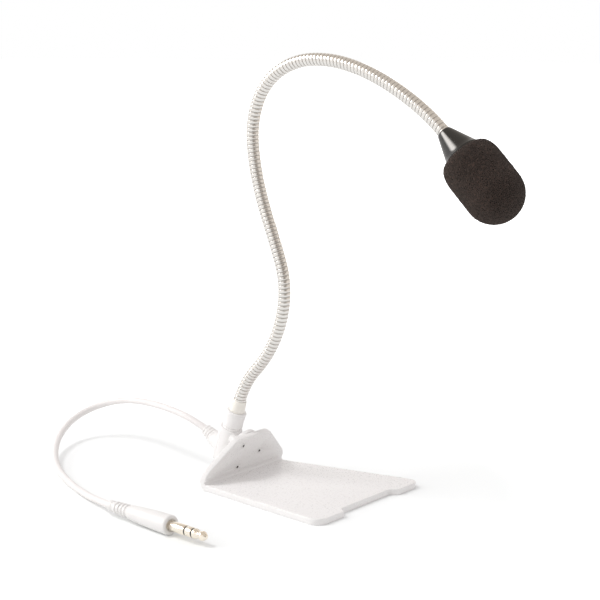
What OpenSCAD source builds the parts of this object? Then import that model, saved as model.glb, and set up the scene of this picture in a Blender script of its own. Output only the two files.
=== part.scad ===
// Desk microphone on a gooseneck: a bent plate stands on the table, a moulded
// housing is screwed to the back of its leaning wall, and a flexible neck
// carries the capsule head under a foam windscreen.
//
// Millimetres, +Z up. The underside of the plate is Z = 0 and its middle is the
// origin; the wall stands along the plate's rear edge, and the plate's notched
// front edge lies towards -Y.

/* [Plate] */
// Thickness of the bent sheet
plate_t = 4.2; // [3:0.1:6]
// Width of the plate at the crease
plate_rear_w = 83; // [70:1:110]
// Width of the plate at its front edge
plate_front_w = 115; // [90:1:140]
// Length of the plate from the crease to the front edge
plate_len = 107; // [80:1:140]
// Radius of the two front corners
plate_corner_r = 8; // [2:0.5:12]
// Depth of the notch in the front edge
notch_depth = 5; // [2:0.5:10]
// Width of the notch at its floor
notch_w = 54; // [30:1:70]
// Run of each slanted end of the notch
notch_slant = 4; // [1:0.5:8]
// Radius of the corners of the notch
notch_r = 1.5; // [0.5:0.1:2]

/* [Wall] */
// Lean of the wall over the plate, from upright, in degrees
wall_lean = 19.5; // [5:0.5:30]
// Height of the wall along its own face
wall_h = 28.8; // [27:0.2:36]
// Width of the wall along its top edge
wall_top_w = 34; // [24:1:50]
// Height of the wall's short upright sides
wall_side_h = 7; // [4:0.5:12]
// Radius of the corners at the top edge
wall_top_r = 7; // [2:0.5:10]
// Radius of the corners above the upright sides
wall_side_r = 9; // [2:0.5:10]
// Inner radius of the bend
bend_r = 1.5; // [1:0.1:3]

/* [Wall screws] */
// Shank diameter of the wall screws
screw_d = 2.6; // [2:0.1:3]
// Head diameter of the wall screws
screw_head_d = 4.4; // [4:0.1:5]
// Height of the conical screw heads
screw_head_h = 1.4; // [1:0.1:1.8]
// Length of the wall screws
screw_len = 10; // [9:0.5:11]
// Side distance of the two left screws from the middle
screw_left_x = 9; // [8:0.2:10]
// Side distance of the right screw from the middle
screw_right_x = 11.2; // [9:0.2:11.6]
// Height difference between the two left screws
screw_spread = 16.4; // [14:0.2:18]
// Width of the cross recess in a screw head
recess_w = 0.7; // [0.5:0.1:1]
// Diameter of the bosses that the wall screws bite into
boss_d = 5.6; // [5:0.2:6]
// Height of those bosses above the flange
boss_h = 4.6; // [3:0.2:5]

/* [Housing] */
// Distance of the neck axis from the inner face of the wall
axis_out = 19.5; // [18:0.5:24]
// Diameter of the round mounting flange
flange_d = 30.4; // [28:0.2:32]
// Thickness of the mounting flange
flange_t = 3; // [2:0.2:4]
// Height of the flange centre along the wall
flange_s = 14.2; // [13:0.2:16]
// Diameter of the upright housing body
body_d = 14.8; // [13.6:0.2:17]
// Height of the housing body
body_h = 25.5; // [24:0.5:30]
// How far the body reaches below the crease line along the wall
body_drop = 1; // [0:0.5:1.5]
// Width of the web between flange and body
web_w = 11; // [8:0.5:12]
// Wall thickness of the housing shells
shell_t = 2; // [1.6:0.1:2.4]
// Thickness of the roof that the neck is clamped to
roof_t = 3; // [2:0.2:4]
// Distance from the neck axis back to the seam between the shells
seam_out = 3; // [2:0.5:4]
// Extra depth of the rear shell behind the neck axis
rear_extra = 1; // [0:0.2:2]
// Overlap of the rear shell's lip inside the front shell
lip_h = 1.2; // [0.8:0.2:2]
// Rounding of the housing's lower edge
body_edge = 1.5; // [0.5:0.1:1.8]

/* [Cord port] */
// Height of the port axis along the neck axis, above the crease line
port_s = 7.6; // [7:0.2:9]
// Tilt of the port above square to the wall, in degrees
port_tilt = 12; // [5:1:18]
// Distance from the neck axis to the end of the port boss
port_reach = 12.8; // [12:0.2:15]
// Diameter of the port boss at its end
port_d = 10.6; // [10:0.2:12]
// Length of the ribbed part of the strain relief
relief_len = 8.4; // [6:0.2:12]
// Diameter of the strain relief's ribs at the housing
relief_d = 9.8; // [8:0.2:10]
// Diameter of the strain relief at its free end
relief_end_d = 7.6; // [7:0.2:9]
// Number of ribs on the strain relief
relief_ribs = 3; // [2:1:4]

/* [Collar and ferrule] */
// Diameter of the white collar
collar_d = 13.8; // [13:0.2:15]
// Height of the white collar
collar_h = 13; // [10:0.5:16]
// Height of the ferrule above the collar
ferrule_h = 8.6; // [7:0.2:12]
// Diameter of the ferrule where it sits on the collar
ferrule_d = 10.8; // [10.4:0.1:12]
// Diameter of the ferrule where the neck leaves it
ferrule_top_d = 9.4; // [9.2:0.1:10.2]
// Diameter of the threaded stud below the ferrule
stud_d = 7; // [6:0.2:7.4]
// Width across the flats of the clamp nut
nut_af = 9; // [8.6:0.1:9.2]
// Height of the clamp nut
nut_h = 3; // [2:0.2:4]

/* [Gooseneck] */
// Outer diameter of the gooseneck
neck_d = 8.5; // [7.5:0.1:9]
// Bore of the gooseneck
neck_bore = 5; // [4.4:0.1:5.4]
// Length of one link along the neck
link_len = 27.1; // [22:0.1:32]
// Coils on each link
coils = 10; // [8:1:12]
// Depth of the groove between coils
groove_depth = 0.35; // [0.2:0.05:0.5]
// Width of the groove between coils
groove_w = 0.5; // [0.3:0.05:0.8]
// Running clearance in the ball ends of the links
ball_gap = 0.12; // [0.1:0.02:0.2]
// Depth of the neck's plain ends in the ferrule and in the head
neck_seat = 5; // [4:0.5:6]
// Diameter of the lead inside the neck
lead_d = 2.5; // [1.6:0.1:2.8]

/* [Head] */
// Length of the black cone
cone_len = 18; // [15:0.5:24]
// Diameter of the cone at the neck
cone_small_d = 9.4; // [9.2:0.1:11]
// Diameter of the cone and of the capsule barrel
barrel_d = 23.8; // [20:0.2:26]
// Wall thickness of cone and barrel
barrel_wall = 1.6; // [1.2:0.1:2]
// Length of the capsule barrel behind the grille
barrel_len = 23; // [20:0.5:26]
// Slots around the capsule barrel
barrel_slots = 10; // [6:1:12]
// Diameter of the electret capsule
capsule_d = 9.7; // [6:0.1:10]
// Depth of the electret capsule
capsule_h = 6.7; // [3:0.1:7]

/* [Windscreen] */
// Largest diameter of the foam windscreen
foam_d = 37.2; // [34:0.2:42]
// Diameter of the windscreen's flat back
foam_back_d = 27; // [26.4:0.2:30]
// Length of the windscreen
foam_len = 49.4; // [48:0.2:60]
// Length over which the back of the foam swells out
foam_shoulder = 12; // [8:0.5:16]
// Slack between foam and barrel
foam_gap = 0.3; // [0.3:0.1:0.6]

/* [Cord and plug] */
// Diameter of the cord
cord_d = 4.6; // [4:0.1:5]
// Turn of the plug from straight ahead, in degrees
plug_turn = 7; // [0:1:20]
// Largest diameter of the plug handle
handle_d = 12.4; // [10:0.2:14]
// Diameter of the handle at its boot end
handle_rear_d = 9; // [8:0.2:10]
// Length of the plug handle
handle_len = 38.5; // [30:0.5:45]
// Length of the ribbed boot behind the handle
boot_len = 20; // [14:0.5:26]
// Diameter of the boot at the handle
boot_d = 8.4; // [7.6:0.2:9]
// Diameter of the boot at the cord
boot_end_d = 7; // [6.4:0.1:7.4]
// Number of ribs on the boot
boot_ribs = 4; // [3:1:6]
// Diameter of the plug's shaft
jack_d = 6.35; // [3.5:0.05:6.35]
// Length of the sleeve contact outside the handle
sleeve_len = 14.1; // [12:0.1:16]
// Width of each insulating washer
washer_w = 1.1; // [0.8:0.1:1.5]
// Length of the ring contact
ring_len = 5; // [4:0.1:6]
// Length of the tip contact
tip_len = 10.7; // [9:0.1:12]

/* [Hidden] */

$fn = 64;
fit = 0.05;          // radial clearance of parts that slide together
slack = 0.3;         // clearance of parts that only lie side by side
arc_steps = 8;       // straight pieces in a rounded corner of an outline

crease_y = plate_len / 2;

white_plate = [0.93, 0.93, 0.92];
white_shell = [0.95, 0.95, 0.94];
cream = [0.90, 0.87, 0.80];
nickel = [0.78, 0.76, 0.73];
steel = [0.62, 0.62, 0.63];
gloss_black = [0.03, 0.03, 0.035];
foam_black = [0.09, 0.08, 0.075];
gold = [0.86, 0.74, 0.55];
green = [0.10, 0.35, 0.20];

// Bends of the fourteen links, in degrees, from the ferrule to the head.
// A positive bend turns the neck forward, over the plate.
neck_turns = [25, -18, -20, -26, -3, 7, 11, 28, 37, 27, 16, 11, 8, 10];
links = len(neck_turns);
neck_r = neck_d / 2;
pitch = link_len / coils;
core_r = neck_r - groove_depth;
cup_r = neck_r + ball_gap;
dome_h = 2.4;        // height of a ball end above the joint's centre

// Heights along the neck axis, from the crease line
body_top = body_h - body_drop;
collar_top = body_top + collar_h;
neck_root = collar_top + ferrule_h;
roof_under = body_top - roof_t;
nut_top = roof_under;
stud_end = nut_top - nut_h - 1;

cavity_r = body_d / 2 - shell_t;
rear_cavity_r = cavity_r - fit - 0.8;
web_top = body_top - body_edge;
board_face = -cavity_r + 2;      // front face of the terminal board, from the axis
board_bottom = 3;
board_top = 16;
lead_turn_s = 14;                // height at which the lead turns to the board
relief_neck_r = 3.6;
relief_flange_r = 4.1;
port_wall = 1.6;

// Places along the head axis, from the neck's end
cone_start = 2;
cone_end = cone_start + cone_len;
cone_floor = cone_start + 7.4;
barrel_end = cone_end + barrel_len;
foam_start = cone_end - 0.6;
foam_end = foam_start + foam_len;
capsule_face = barrel_end - 3;

// Places along the plug, from the front face of its handle
handle_r = handle_d / 2;
jack_r = jack_d / 2;
recess_depth = 1;
washer_inset = 0.18; // how far the washers lie below the contacts
tail_end = -8;       // rear end of the sleeve's tail inside the handle
bore_end = tail_end - 1;
rear_washer_z = sleeve_len;
ring_z = rear_washer_z + washer_w;
front_washer_z = ring_z + ring_len;
tip_z = front_washer_z + washer_w;
plug_left = 124;     // where the handle's front face is, left of the middle
plug_ahead = 46;     // and in front of the crease
plug_at = [-plug_left, crease_y - plug_ahead, handle_r];

// ---- frames ----

// Frame of the wall: Y points out through the wall's back, Z climbs the wall.
module on_wall() {
    translate([0, crease_y, plate_t])
        rotate([wall_lean, 0, 0])
            children();
}

// Frame of the neck axis: Z climbs the axis, Y points away from the wall.
module on_axis() {
    on_wall()
        translate([0, axis_out, 0])
            children();
}

// Frame of the cord port, inside the frame of the neck axis: Z points out of
// the housing along the port.
module at_port() {
    translate([0, 0, port_s])
        rotate([port_tilt - 90, 0, 0])
            children();
}

// Frame of the plug: Z points from the handle's front face towards the tip.
module on_plug() {
    translate(plug_at)
        rotate([90, 0, -plug_turn])
            children();
}

// A point of the neck axis' frame, given as [Y, Z], in the part's own frame
function axis_point(p) = [
    crease_y + (axis_out + p[0]) * cos(wall_lean) - p[1] * sin(wall_lean),
    plate_t + (axis_out + p[0]) * sin(wall_lean) + p[1] * cos(wall_lean)
];

// Heading of the neck, in degrees forward from upright, where link i begins
function heading(i) = i == 0 ? wall_lean : heading(i - 1) + neck_turns[i - 1];

// Straight distance between the two ends of link i
function chord(i) = link_len * sin(neck_turns[i] / 2) / (neck_turns[i] / 2 * PI / 180);

// Where link i begins, as [Y, Z]
function link_start(i) = i == 0 ? axis_point([0, neck_root]) :
    let (a = heading(i - 1) + neck_turns[i - 1] / 2, c = chord(i - 1))
    link_start(i - 1) + c * [-sin(a), cos(a)];

// Frame of link i: Z runs along the neck where the link begins.
module on_link(i) {
    translate([0, link_start(i)[0], link_start(i)[1]])
        rotate([heading(i), 0, 0])
            children();
}

// Frame of the head: Z runs from the neck's end towards the windscreen's tip.
module on_head() {
    on_link(links)
        children();
}

// ---- outlines ----

// Points along an arc about a centre, from one angle to another
function arc_points(centre, r, from, to, steps) = [
    for (k = [0 : steps])
        let (a = from + (to - from) * k / steps)
        centre + r * [cos(a), sin(a)]
];

// Points of a closed outline, listed against the clock, whose corners are
// [x, y, radius]
function rounded(c) = [
    for (i = [0 : len(c) - 1])
        let (
            p = [c[i][0], c[i][1]],
            q = c[(i + len(c) - 1) % len(c)],
            n = c[(i + 1) % len(c)],
            back = ([q[0], q[1]] - p) / norm([q[0], q[1]] - p),
            on = ([n[0], n[1]] - p) / norm([n[0], n[1]] - p),
            half = acos(back * on) / 2,
            inwards = (back + on) / norm(back + on),
            middle = atan2(-inwards[1], -inwards[0]),
            swing = (back[0] * on[1] - back[1] * on[0] > 0 ? -1 : 1) * (90 - half)
        )
        for (point = c[i][2] > 0 ?
            arc_points(p + inwards * c[i][2] / sin(half), c[i][2], middle - swing, middle + swing, arc_steps)
            : [p])
            point
];

// ---- plate ----

plate_tangent = bend_r * tan((90 + wall_lean) / 2);
front_y = crease_y - plate_len;
straight_side = 3;   // length of the plate's side that runs square to the bend

// Outline of the plate, carried on behind the bend
plate_outline = [
    [-plate_rear_w / 2, crease_y + 20, 0],
    [-plate_rear_w / 2, crease_y - straight_side, 0],
    [-plate_front_w / 2, front_y, plate_corner_r],
    [-notch_w / 2 - notch_slant, front_y, notch_r],
    [-notch_w / 2, front_y + notch_depth, notch_r],
    [notch_w / 2, front_y + notch_depth, notch_r],
    [notch_w / 2 + notch_slant, front_y, notch_r],
    [plate_front_w / 2, front_y, plate_corner_r],
    [plate_rear_w / 2, crease_y - straight_side, 0],
    [plate_rear_w / 2, crease_y + 20, 0]
];

// Outline of the wall along its own face, carried on below the bend
wall_outline = [
    [-plate_rear_w / 2, -8, 0],
    [plate_rear_w / 2, -8, 0],
    [plate_rear_w / 2, wall_side_h, wall_side_r],
    [wall_top_w / 2, wall_h, wall_top_r],
    [-wall_top_w / 2, wall_h, wall_top_r],
    [-plate_rear_w / 2, wall_side_h, wall_side_r]
];

// Side view of the bent sheet as [Y, Z], carried on past its front and top edges
bend_centre = [crease_y - plate_tangent, plate_t + bend_r];
along_wall = [-sin(wall_lean), cos(wall_lean)];
bend_arc = arc_points(bend_centre, bend_r, wall_lean, -90, 2 * arc_steps);
bend_outer_arc = arc_points(bend_centre, bend_r + plate_t, -90, wall_lean, 2 * arc_steps);
sheet_profile = concat(
    [[front_y - 10, 0]],
    bend_outer_arc,
    [bend_outer_arc[len(bend_outer_arc) - 1] + (wall_h + 10) * along_wall],
    [bend_arc[0] + (wall_h + 10) * along_wall],
    bend_arc,
    [[front_y - 10, plate_t]]
);

// Places of the wall screws, as [X, height along the wall]
screw_places = [
    [-screw_left_x, flange_s + screw_spread / 2],
    [-screw_left_x, flange_s - screw_spread / 2],
    [screw_right_x, flange_s]
];

module at_screws() {
    for (p = screw_places)
        on_wall()
            translate([p[0], 0, p[1]])
                rotate([-90, 0, 0])
                    children();
}

// Seat of a screw's conical head, and the hole for its shank
module screw_seat() {
    lead_in = 0.4;
    widening = lead_in * (screw_head_d - screw_d) / 2 / screw_head_h;
    translate([0, 0, -lead_in])
        cylinder(h = screw_head_h + lead_in, r1 = screw_head_d / 2 + fit + widening, r2 = screw_d / 2 + fit);
    translate([0, 0, screw_head_h / 2])
        cylinder(h = plate_t, r = screw_d / 2 + 0.15);
}

module base_plate() {
    color(white_plate)
    difference() {
        intersection() {
            // the sheet bent along its rear edge, endless to both sides
            translate([-plate_front_w, 0, 0])
                rotate([90, 0, 90])
                    linear_extrude(2 * plate_front_w)
                        polygon(sheet_profile);
            // what the cutter leaves of the plate and of the wall
            union() {
                translate([0, 0, -1])
                    linear_extrude(plate_t + 3)
                        polygon(rounded(plate_outline));
                on_wall()
                    translate([0, 2 * plate_t, 0])
                        rotate([90, 0, 0])
                            linear_extrude(3 * plate_t)
                                polygon(rounded(wall_outline));
            }
        }
        at_screws()
            screw_seat();
    }
}

module wall_screws() {
    color(steel)
    at_screws()
        difference() {
            union() {
                cylinder(h = screw_head_h, r1 = screw_head_d / 2, r2 = screw_d / 2);
                cylinder(h = screw_len - 1, r = screw_d / 2);
                translate([0, 0, screw_len - 1])
                    cylinder(h = 1, r1 = screw_d / 2, r2 = 0.4);
            }
            for (a = [0, 90])
                rotate([0, 0, a])
                    translate([-1.2, -recess_w / 2, -1])
                        cube([2.4, recess_w, 2]);
        }
}

// ---- housing ----

// Cross-section of the housing body, with the neck axis at the origin
module body_section(r) {
    circle(r);
    translate([-r, 0])
        square([2 * r, rear_extra]);
    translate([0, rear_extra])
        circle(r);
}

// The hollow of a shell: the body's section, from the floor up to the roof
module hollow(r) {
    translate([0, 0, shell_t - body_drop])
        linear_extrude(roof_under - shell_t + body_drop)
            body_section(r);
}

// Everything behind the seam and below the roof
module behind_seam() {
    translate([-body_d, seam_out, -body_drop - 1])
        cube([2 * body_d, 2 * body_d, roof_under + body_drop + 1]);
}

// The upright body, with its lower edge bevelled
module body_solid() {
    r = body_d / 2;
    low = r - body_edge;
    translate([0, 0, body_edge - body_drop])
        linear_extrude(body_h - body_edge)
            body_section(r);
    translate([0, 0, -body_drop]) {
        cylinder(h = body_edge, r1 = low, r2 = r);
        translate([0, rear_extra, 0])
            cylinder(h = body_edge, r1 = low, r2 = r);
        translate([0, rear_extra, 0])
            rotate([90, 0, 0])
                linear_extrude(rear_extra)
                    polygon([[-low, 0], [low, 0], [r, body_edge], [-r, body_edge]]);
    }
}

module front_shell() {
    flange_y = plate_t - axis_out;
    color(white_shell)
    on_axis()
    difference() {
        union() {
            difference() {
                body_solid();
                behind_seam();
            }
            // round flange against the wall, and the web that carries the body
            translate([0, flange_y, flange_s])
                rotate([-90, 0, 0])
                    cylinder(h = flange_t, r = flange_d / 2);
            translate([-web_w / 2, flange_y + flange_t / 2, body_edge - body_drop])
                cube([web_w, -cavity_r - flange_y - flange_t / 2, web_top - body_edge + body_drop]);
            for (p = screw_places)
                translate([p[0], flange_y, p[1]])
                    rotate([-90, 0, 0])
                        cylinder(h = flange_t + boss_h, r = boss_d / 2);
        }
        difference() {
            hollow(cavity_r);
            // two ledges that the terminal board is stuck to
            for (side = [-1, 1])
                translate([side * 2.2 - 0.5, -cavity_r - 1, board_bottom])
                    cube([1, 2, board_top - board_bottom]);
        }
        translate([0, 0, roof_under - 1])
            cylinder(h = roof_t + 2, r = stud_d / 2 + fit);
        for (p = screw_places)
            translate([p[0], -axis_out, p[1]])
                rotate([-90, 0, 0])
                    cylinder(h = screw_len + 1, r = screw_d / 2);
    }
}

module rear_shell() {
    color(white_shell)
    on_axis()
    difference() {
        union() {
            intersection() {
                union() {
                    body_solid();
                    at_port()
                        translate([0, 0, 2])
                            cylinder(h = port_reach - 2, r1 = body_d / 2 - 0.2, r2 = port_d / 2);
                }
                behind_seam();
            }
            // lip that slips inside the front shell
            intersection() {
                translate([0, 0, shell_t - body_drop + fit])
                    linear_extrude(roof_under - shell_t + body_drop - 2 * fit)
                        body_section(cavity_r - fit);
                translate([-body_d, seam_out - lip_h, 0])
                    cube([2 * body_d, lip_h + 1, body_h]);
            }
        }
        translate([0, 0, shell_t - body_drop + 0.8])
            linear_extrude(body_h)
                body_section(rear_cavity_r);
        // the port's inside, and the hole that the strain relief passes
        at_port() {
            cylinder(h = port_reach - port_wall, r = relief_flange_r + fit);
            cylinder(h = port_reach + 1, r = relief_neck_r + fit);
        }
    }
}

module terminal_board() {
    color(green)
    on_axis()
        translate([-3, board_face - 1, board_bottom])
            cube([6, 1, board_top - board_bottom]);
}

module neck_collar() {
    r = collar_d / 2;
    color(white_shell)
    on_axis()
    translate([0, 0, body_top])
    difference() {
        rotate_extrude()
            polygon([
                [stud_d / 2 + fit, 0],
                [r - 0.3, 0],
                [r - 0.3, 1.2],
                [r - 0.7, 1.4],
                [r - 0.7, 2.0],
                [r, 2.2],
                [r, 3.2],
                [r - 0.15, 3.4],
                [r - 0.15, collar_h - 2.2],
                [r + 0.15, collar_h - 1.8],
                [r + 0.15, collar_h - 0.5],
                [r - 0.35, collar_h],
                [stud_d / 2 + fit, collar_h]
            ]);
    }
}

module neck_ferrule() {
    color(cream)
    on_axis()
    rotate_extrude()
        polygon([
            [neck_bore / 2, stud_end],
            [stud_d / 2, stud_end],
            [stud_d / 2, collar_top],
            [ferrule_d / 2 - 0.3, collar_top],
            [ferrule_d / 2, collar_top + 0.4],
            [ferrule_d / 2, collar_top + 1.2],
            [ferrule_top_d / 2 + 0.25, neck_root - 1.2],
            [ferrule_top_d / 2, neck_root - 0.3],
            [ferrule_top_d / 2 - 0.2, neck_root],
            [core_r + fit, neck_root],
            [core_r + fit, neck_root - neck_seat],
            [neck_bore / 2, neck_root - neck_seat]
        ]);
}

module clamp_nut() {
    color(steel)
    on_axis()
    translate([0, 0, nut_top - nut_h])
        difference() {
            cylinder(h = nut_h, r = nut_af / 2 / cos(30), $fn = 6);
            translate([0, 0, -1])
                cylinder(h = nut_h + 2, r = stud_d / 2 + fit);
        }
}

module cord_relief() {
    tip_r = relief_end_d / 2;
    rib_pitch = relief_len / (relief_ribs + 0.6);
    color(white_shell)
    on_axis()
    at_port()
    difference() {
        union() {
            translate([0, 0, port_reach - 2 * port_wall])
                cylinder(h = port_wall, r = relief_flange_r);
            translate([0, 0, port_reach - port_wall - 0.01])
                cylinder(h = port_wall + 0.02, r = relief_neck_r);
            translate([0, 0, port_reach])
                cylinder(h = relief_len, r1 = relief_d / 2 - 0.9, r2 = tip_r - 0.7);
            for (i = [0 : relief_ribs - 1])
                translate([0, 0, port_reach + i * rib_pitch])
                    rib(relief_d / 2 + (tip_r - relief_d / 2) * i / relief_ribs, rib_pitch * 0.62);
            translate([0, 0, port_reach + relief_len - rib_pitch * 0.5])
                rib(tip_r, rib_pitch * 0.5);
        }
        cylinder(h = port_reach + relief_len + 1, r = cord_d / 2 + fit);
    }
}

// A raised band with bevelled edges, standing on Z = 0
module rib(r, w) {
    rotate_extrude()
        polygon([[1, 0], [r - 0.25, 0], [r, 0.25], [r, w - 0.25], [r - 0.25, w], [1, w]]);
}

// ---- gooseneck ----

// Moves along a link's arc to the given share of its bend.
module along_arc(turn, share) {
    r = link_len / (turn * PI / 180);
    translate([0, -r * (1 - cos(turn * share)), r * sin(turn * share)])
        rotate([turn * share, 0, 0])
            children();
}

// A tube along a link's arc, from one share of its length to another.
module arc_tube(turn, outer, bore, from = 0, to = 1) {
    r = link_len / (abs(turn) * PI / 180);
    mirror([0, turn < 0 ? 1 : 0, 0])
        translate([0, -r, 0])
            rotate([90, 0, 90])
                rotate([0, 0, abs(turn) * from])
                    rotate_extrude(angle = abs(turn) * (to - from), $fn = 144)
                        translate([r, 0])
                            difference() {
                                circle(outer, $fn = 40);
                                if (bore > 0)
                                    circle(bore, $fn = 40);
                            }
}

// The ball end of a link, hollow for the lead, centred on the joint
module ball_end() {
    inner = neck_bore / 2 + 0.1;
    rotate_extrude() {
        intersection() {
            circle(neck_r);
            translate([inner, groove_w / 2])
                square([neck_r, dome_h - groove_w / 2]);
        }
        translate([inner, -0.5])
            square([core_r - 0.1 - inner, groove_w / 2 + 0.6]);
    }
}

// A plain straight end of the neck
module plain_end(from, to) {
    inner = neck_bore / 2 + 0.1;
    translate([0, 0, from])
        difference() {
            cylinder(h = to - from, r = core_r - 0.1);
            translate([0, 0, -1])
                cylinder(h = to - from + 2, r = inner);
        }
}

// One link of the neck: a curved tube grooved into coils, with a hollow cup
// below and a ball above, both centred on the joints.
module neck_link(i) {
    turn = neck_turns[i];
    groove_share = groove_w / 2 / pitch;
    first = i == 0;
    last = i == links - 1;
    $fn = 44;
    color(nickel)
    on_link(i)
    difference() {
        union() {
            difference() {
                arc_tube(turn, neck_r, neck_bore / 2, 0, 1);
                for (k = [0 : coils])
                    arc_tube(turn, neck_r + 1, core_r, (k - groove_share) / coils, (k + groove_share) / coils);
            }
            if (first)
                plain_end(-neck_seat, 0.6);
            along_arc(turn, 1)
                if (last)
                    plain_end(-0.6, cone_floor + nut_h + 0.6);
                else
                    ball_end();
        }
        if (!first)
            sphere(cup_r);
    }
}

// The lead inside link i, cut at the joints with its own small ball and cup
module mic_lead(i) {
    turn = neck_turns[i];
    r = lead_d / 2;
    bead_r = r + 0.15;
    first = i == 0;
    last = i == links - 1;
    $fn = 32;
    color([0.2, 0.2, 0.2])
    on_link(i)
    difference() {
        union() {
            arc_tube(turn, r, 0);
            if (first)
                translate([0, 0, lead_turn_s - neck_root]) {
                    cylinder(h = neck_root - lead_turn_s + 0.5, r = r - 0.05);
                    sphere(bead_r);
                    rotate([90, 0, 0])
                        cylinder(h = -board_face, r = r);
                }
            along_arc(turn, 1)
                if (last)
                    translate([0, 0, -0.5])
                        cylinder(h = holder_back - slack, r = r - 0.05);
                else
                    sphere(bead_r);
        }
        if (!first)
            sphere(bead_r + ball_gap);
    }
}

// ---- head ----

holder_h = 9;
holder_back = capsule_face - holder_h;

module head_cone() {
    r0 = cone_small_d / 2;
    r1 = barrel_d / 2;
    color(gloss_black)
    on_head()
    rotate_extrude()
        polygon([
            [core_r + fit, cone_start],
            [r0 - 0.3, cone_start],
            [r0, cone_start + 0.3],
            [r0 + 0.45, cone_start + 1.2],
            [r1 - 0.3, cone_end - 0.4],
            [r1, cone_end - 0.1],
            [r1, cone_end],
            [r1 - barrel_wall, cone_end],
            [r1 - barrel_wall - 0.6, cone_end - 1],
            [nut_af / 2 + 1, cone_floor + nut_h + 1],
            [nut_af / 2 + 1, cone_floor],
            [core_r + fit, cone_floor]
        ]);
}

module head_nut() {
    color(steel)
    on_head()
    translate([0, 0, cone_floor])
        difference() {
            cylinder(h = nut_h, r = nut_af / 2 / cos(30), $fn = 6);
            translate([0, 0, -1])
                cylinder(h = nut_h + 2, r = core_r + fit);
        }
}

module capsule_barrel() {
    r = barrel_d / 2;
    color(gloss_black)
    on_head()
    difference() {
        translate([0, 0, cone_end])
            cylinder(h = barrel_len, r = r);
        translate([0, 0, cone_end - 1])
            cylinder(h = barrel_len - 1, r = r - barrel_wall);
        translate([0, 0, barrel_end - 2.2])
            cylinder(h = 4, r = r - barrel_wall);
        // slots that let sound in from the sides
        for (i = [0 : barrel_slots - 1])
            rotate([0, 0, i * 360 / barrel_slots])
                translate([r - barrel_wall - 1, -1, cone_end + barrel_len * 0.45])
                    cube([barrel_wall + 2, 2, barrel_len * 0.35]);
    }
}

module capsule_holder() {
    color([0.06, 0.06, 0.06])
    on_head()
    difference() {
        union() {
            translate([0, 0, holder_back])
                cylinder(h = holder_h, r = capsule_d / 2 + 1.5);
            translate([0, 0, holder_back])
                cylinder(h = 2.4, r = barrel_d / 2 - barrel_wall - fit);
        }
        translate([0, 0, capsule_face - capsule_h - fit])
            cylinder(h = capsule_h + 1, r = capsule_d / 2 + fit);
        translate([0, 0, holder_back - 1])
            cylinder(h = holder_h, r = lead_d / 2 + 0.4);
        // openings in the disc for the air behind the capsule
        for (i = [0 : 5])
            rotate([0, 0, 60 * i])
                translate([capsule_d / 2 + 3.2, 0, holder_back - 1])
                    cylinder(h = 5, r = 1.1);
    }
}

module capsule() {
    color(steel)
    on_head()
    translate([0, 0, capsule_face - capsule_h])
        rotate_extrude()
            polygon([
                [0, 0],
                [capsule_d / 2 - 0.3, 0],
                [capsule_d / 2, 0.3],
                [capsule_d / 2, capsule_h - 0.3],
                [capsule_d / 2 - 0.3, capsule_h],
                [capsule_d / 2 - 1.2, capsule_h],
                [capsule_d / 2 - 1.2, capsule_h - 0.4],
                [0, capsule_h - 0.4]
            ]);
}

module barrel_grille() {
    r = barrel_d / 2 - barrel_wall - fit;
    color(steel)
    on_head()
    translate([0, 0, barrel_end - 2.2])
        difference() {
            cylinder(h = 1, r = r);
            for (ring = [1 : 3])
                for (i = [0 : ring * 6 - 1])
                    rotate([0, 0, i * 60 / ring])
                        translate([ring * 2.8, 0, -1])
                            cylinder(h = 3, r = 0.9);
            translate([0, 0, -1])
                cylinder(h = 3, r = 0.9);
        }
}

module windscreen() {
    r = foam_d / 2;
    inner = barrel_d / 2 + foam_gap;
    back_r = foam_back_d / 2;
    dome_z = foam_end - r;
    hole_end = barrel_end + foam_gap;
    shoulder = [
        for (k = [0 : 6])
            let (a = 90 * k / 6)
            [back_r + (r - back_r) * sin(a), foam_start + foam_shoulder * (1 - cos(a))]
    ];
    dome = [
        for (k = [0 : 12])
            let (a = 90 * k / 12)
            [r * cos(a), dome_z + r * sin(a)]
    ];
    color(foam_black)
    on_head()
    rotate_extrude()
        polygon(concat(
            [[inner, foam_start]],
            shoulder,
            dome,
            [[0, hole_end], [inner, hole_end]]
        ));
}

// ---- cord and plug ----

// Free stretch of the cord: out of the port, over and round to the left,
// down to the table and forward into the plug's boot
cord_route = [
    [0, 48, 34], [1, 58, 36], [3, 70, 37], [7, 84, 37], [13, 99, 35], [19, 117, 33],
    [23, 133, 31], [24, 147, 27], [21, 158, 24], [14, 164, 20], [6, 166, 17],
    [-6, 163, 14], [-21, 156, 11], [-35, 145, 8], [-50, 132, 5.5], [-63, 117, 3.8],
    [-74, 101, 2.9], [-86, 82, 2.6], [-95, 63, 2.6], [-103, 45, 2.8], [-110, 27, 4.2]
];

// A point on the port's axis, at distance d from the neck axis
function port_point(d) =
    let (p = axis_point([d * cos(port_tilt), port_s + d * sin(port_tilt)]))
    [0, p[0], p[1]];

// A point on the plug's axis, at distance d behind the handle's front face
function plug_point(d) = plug_at + d * [sin(plug_turn), cos(plug_turn), 0];

cord_in_boot = 14;   // how far the cord reaches into the boot
cord_ends = concat(
    [for (d = [board_face + 1, port_reach, port_reach + relief_len]) port_point(d)],
    [for (p = cord_route) p + [0, crease_y, 0]],
    [for (d = [0, cord_in_boot]) plug_point(handle_len + boot_len - d)]
);

// Catmull-Rom point between p[i] and p[i + 1]
function smooth_point(p, i, t) =
    let (
        a = p[max(i - 1, 0)],
        b = p[i],
        c = p[i + 1],
        d = p[min(i + 2, len(p) - 1)]
    )
    0.5 * (2 * b + (c - a) * t + (2 * a - 5 * b + 4 * c - d) * t * t
        + (3 * b - a - 3 * c + d) * t * t * t);

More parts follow.
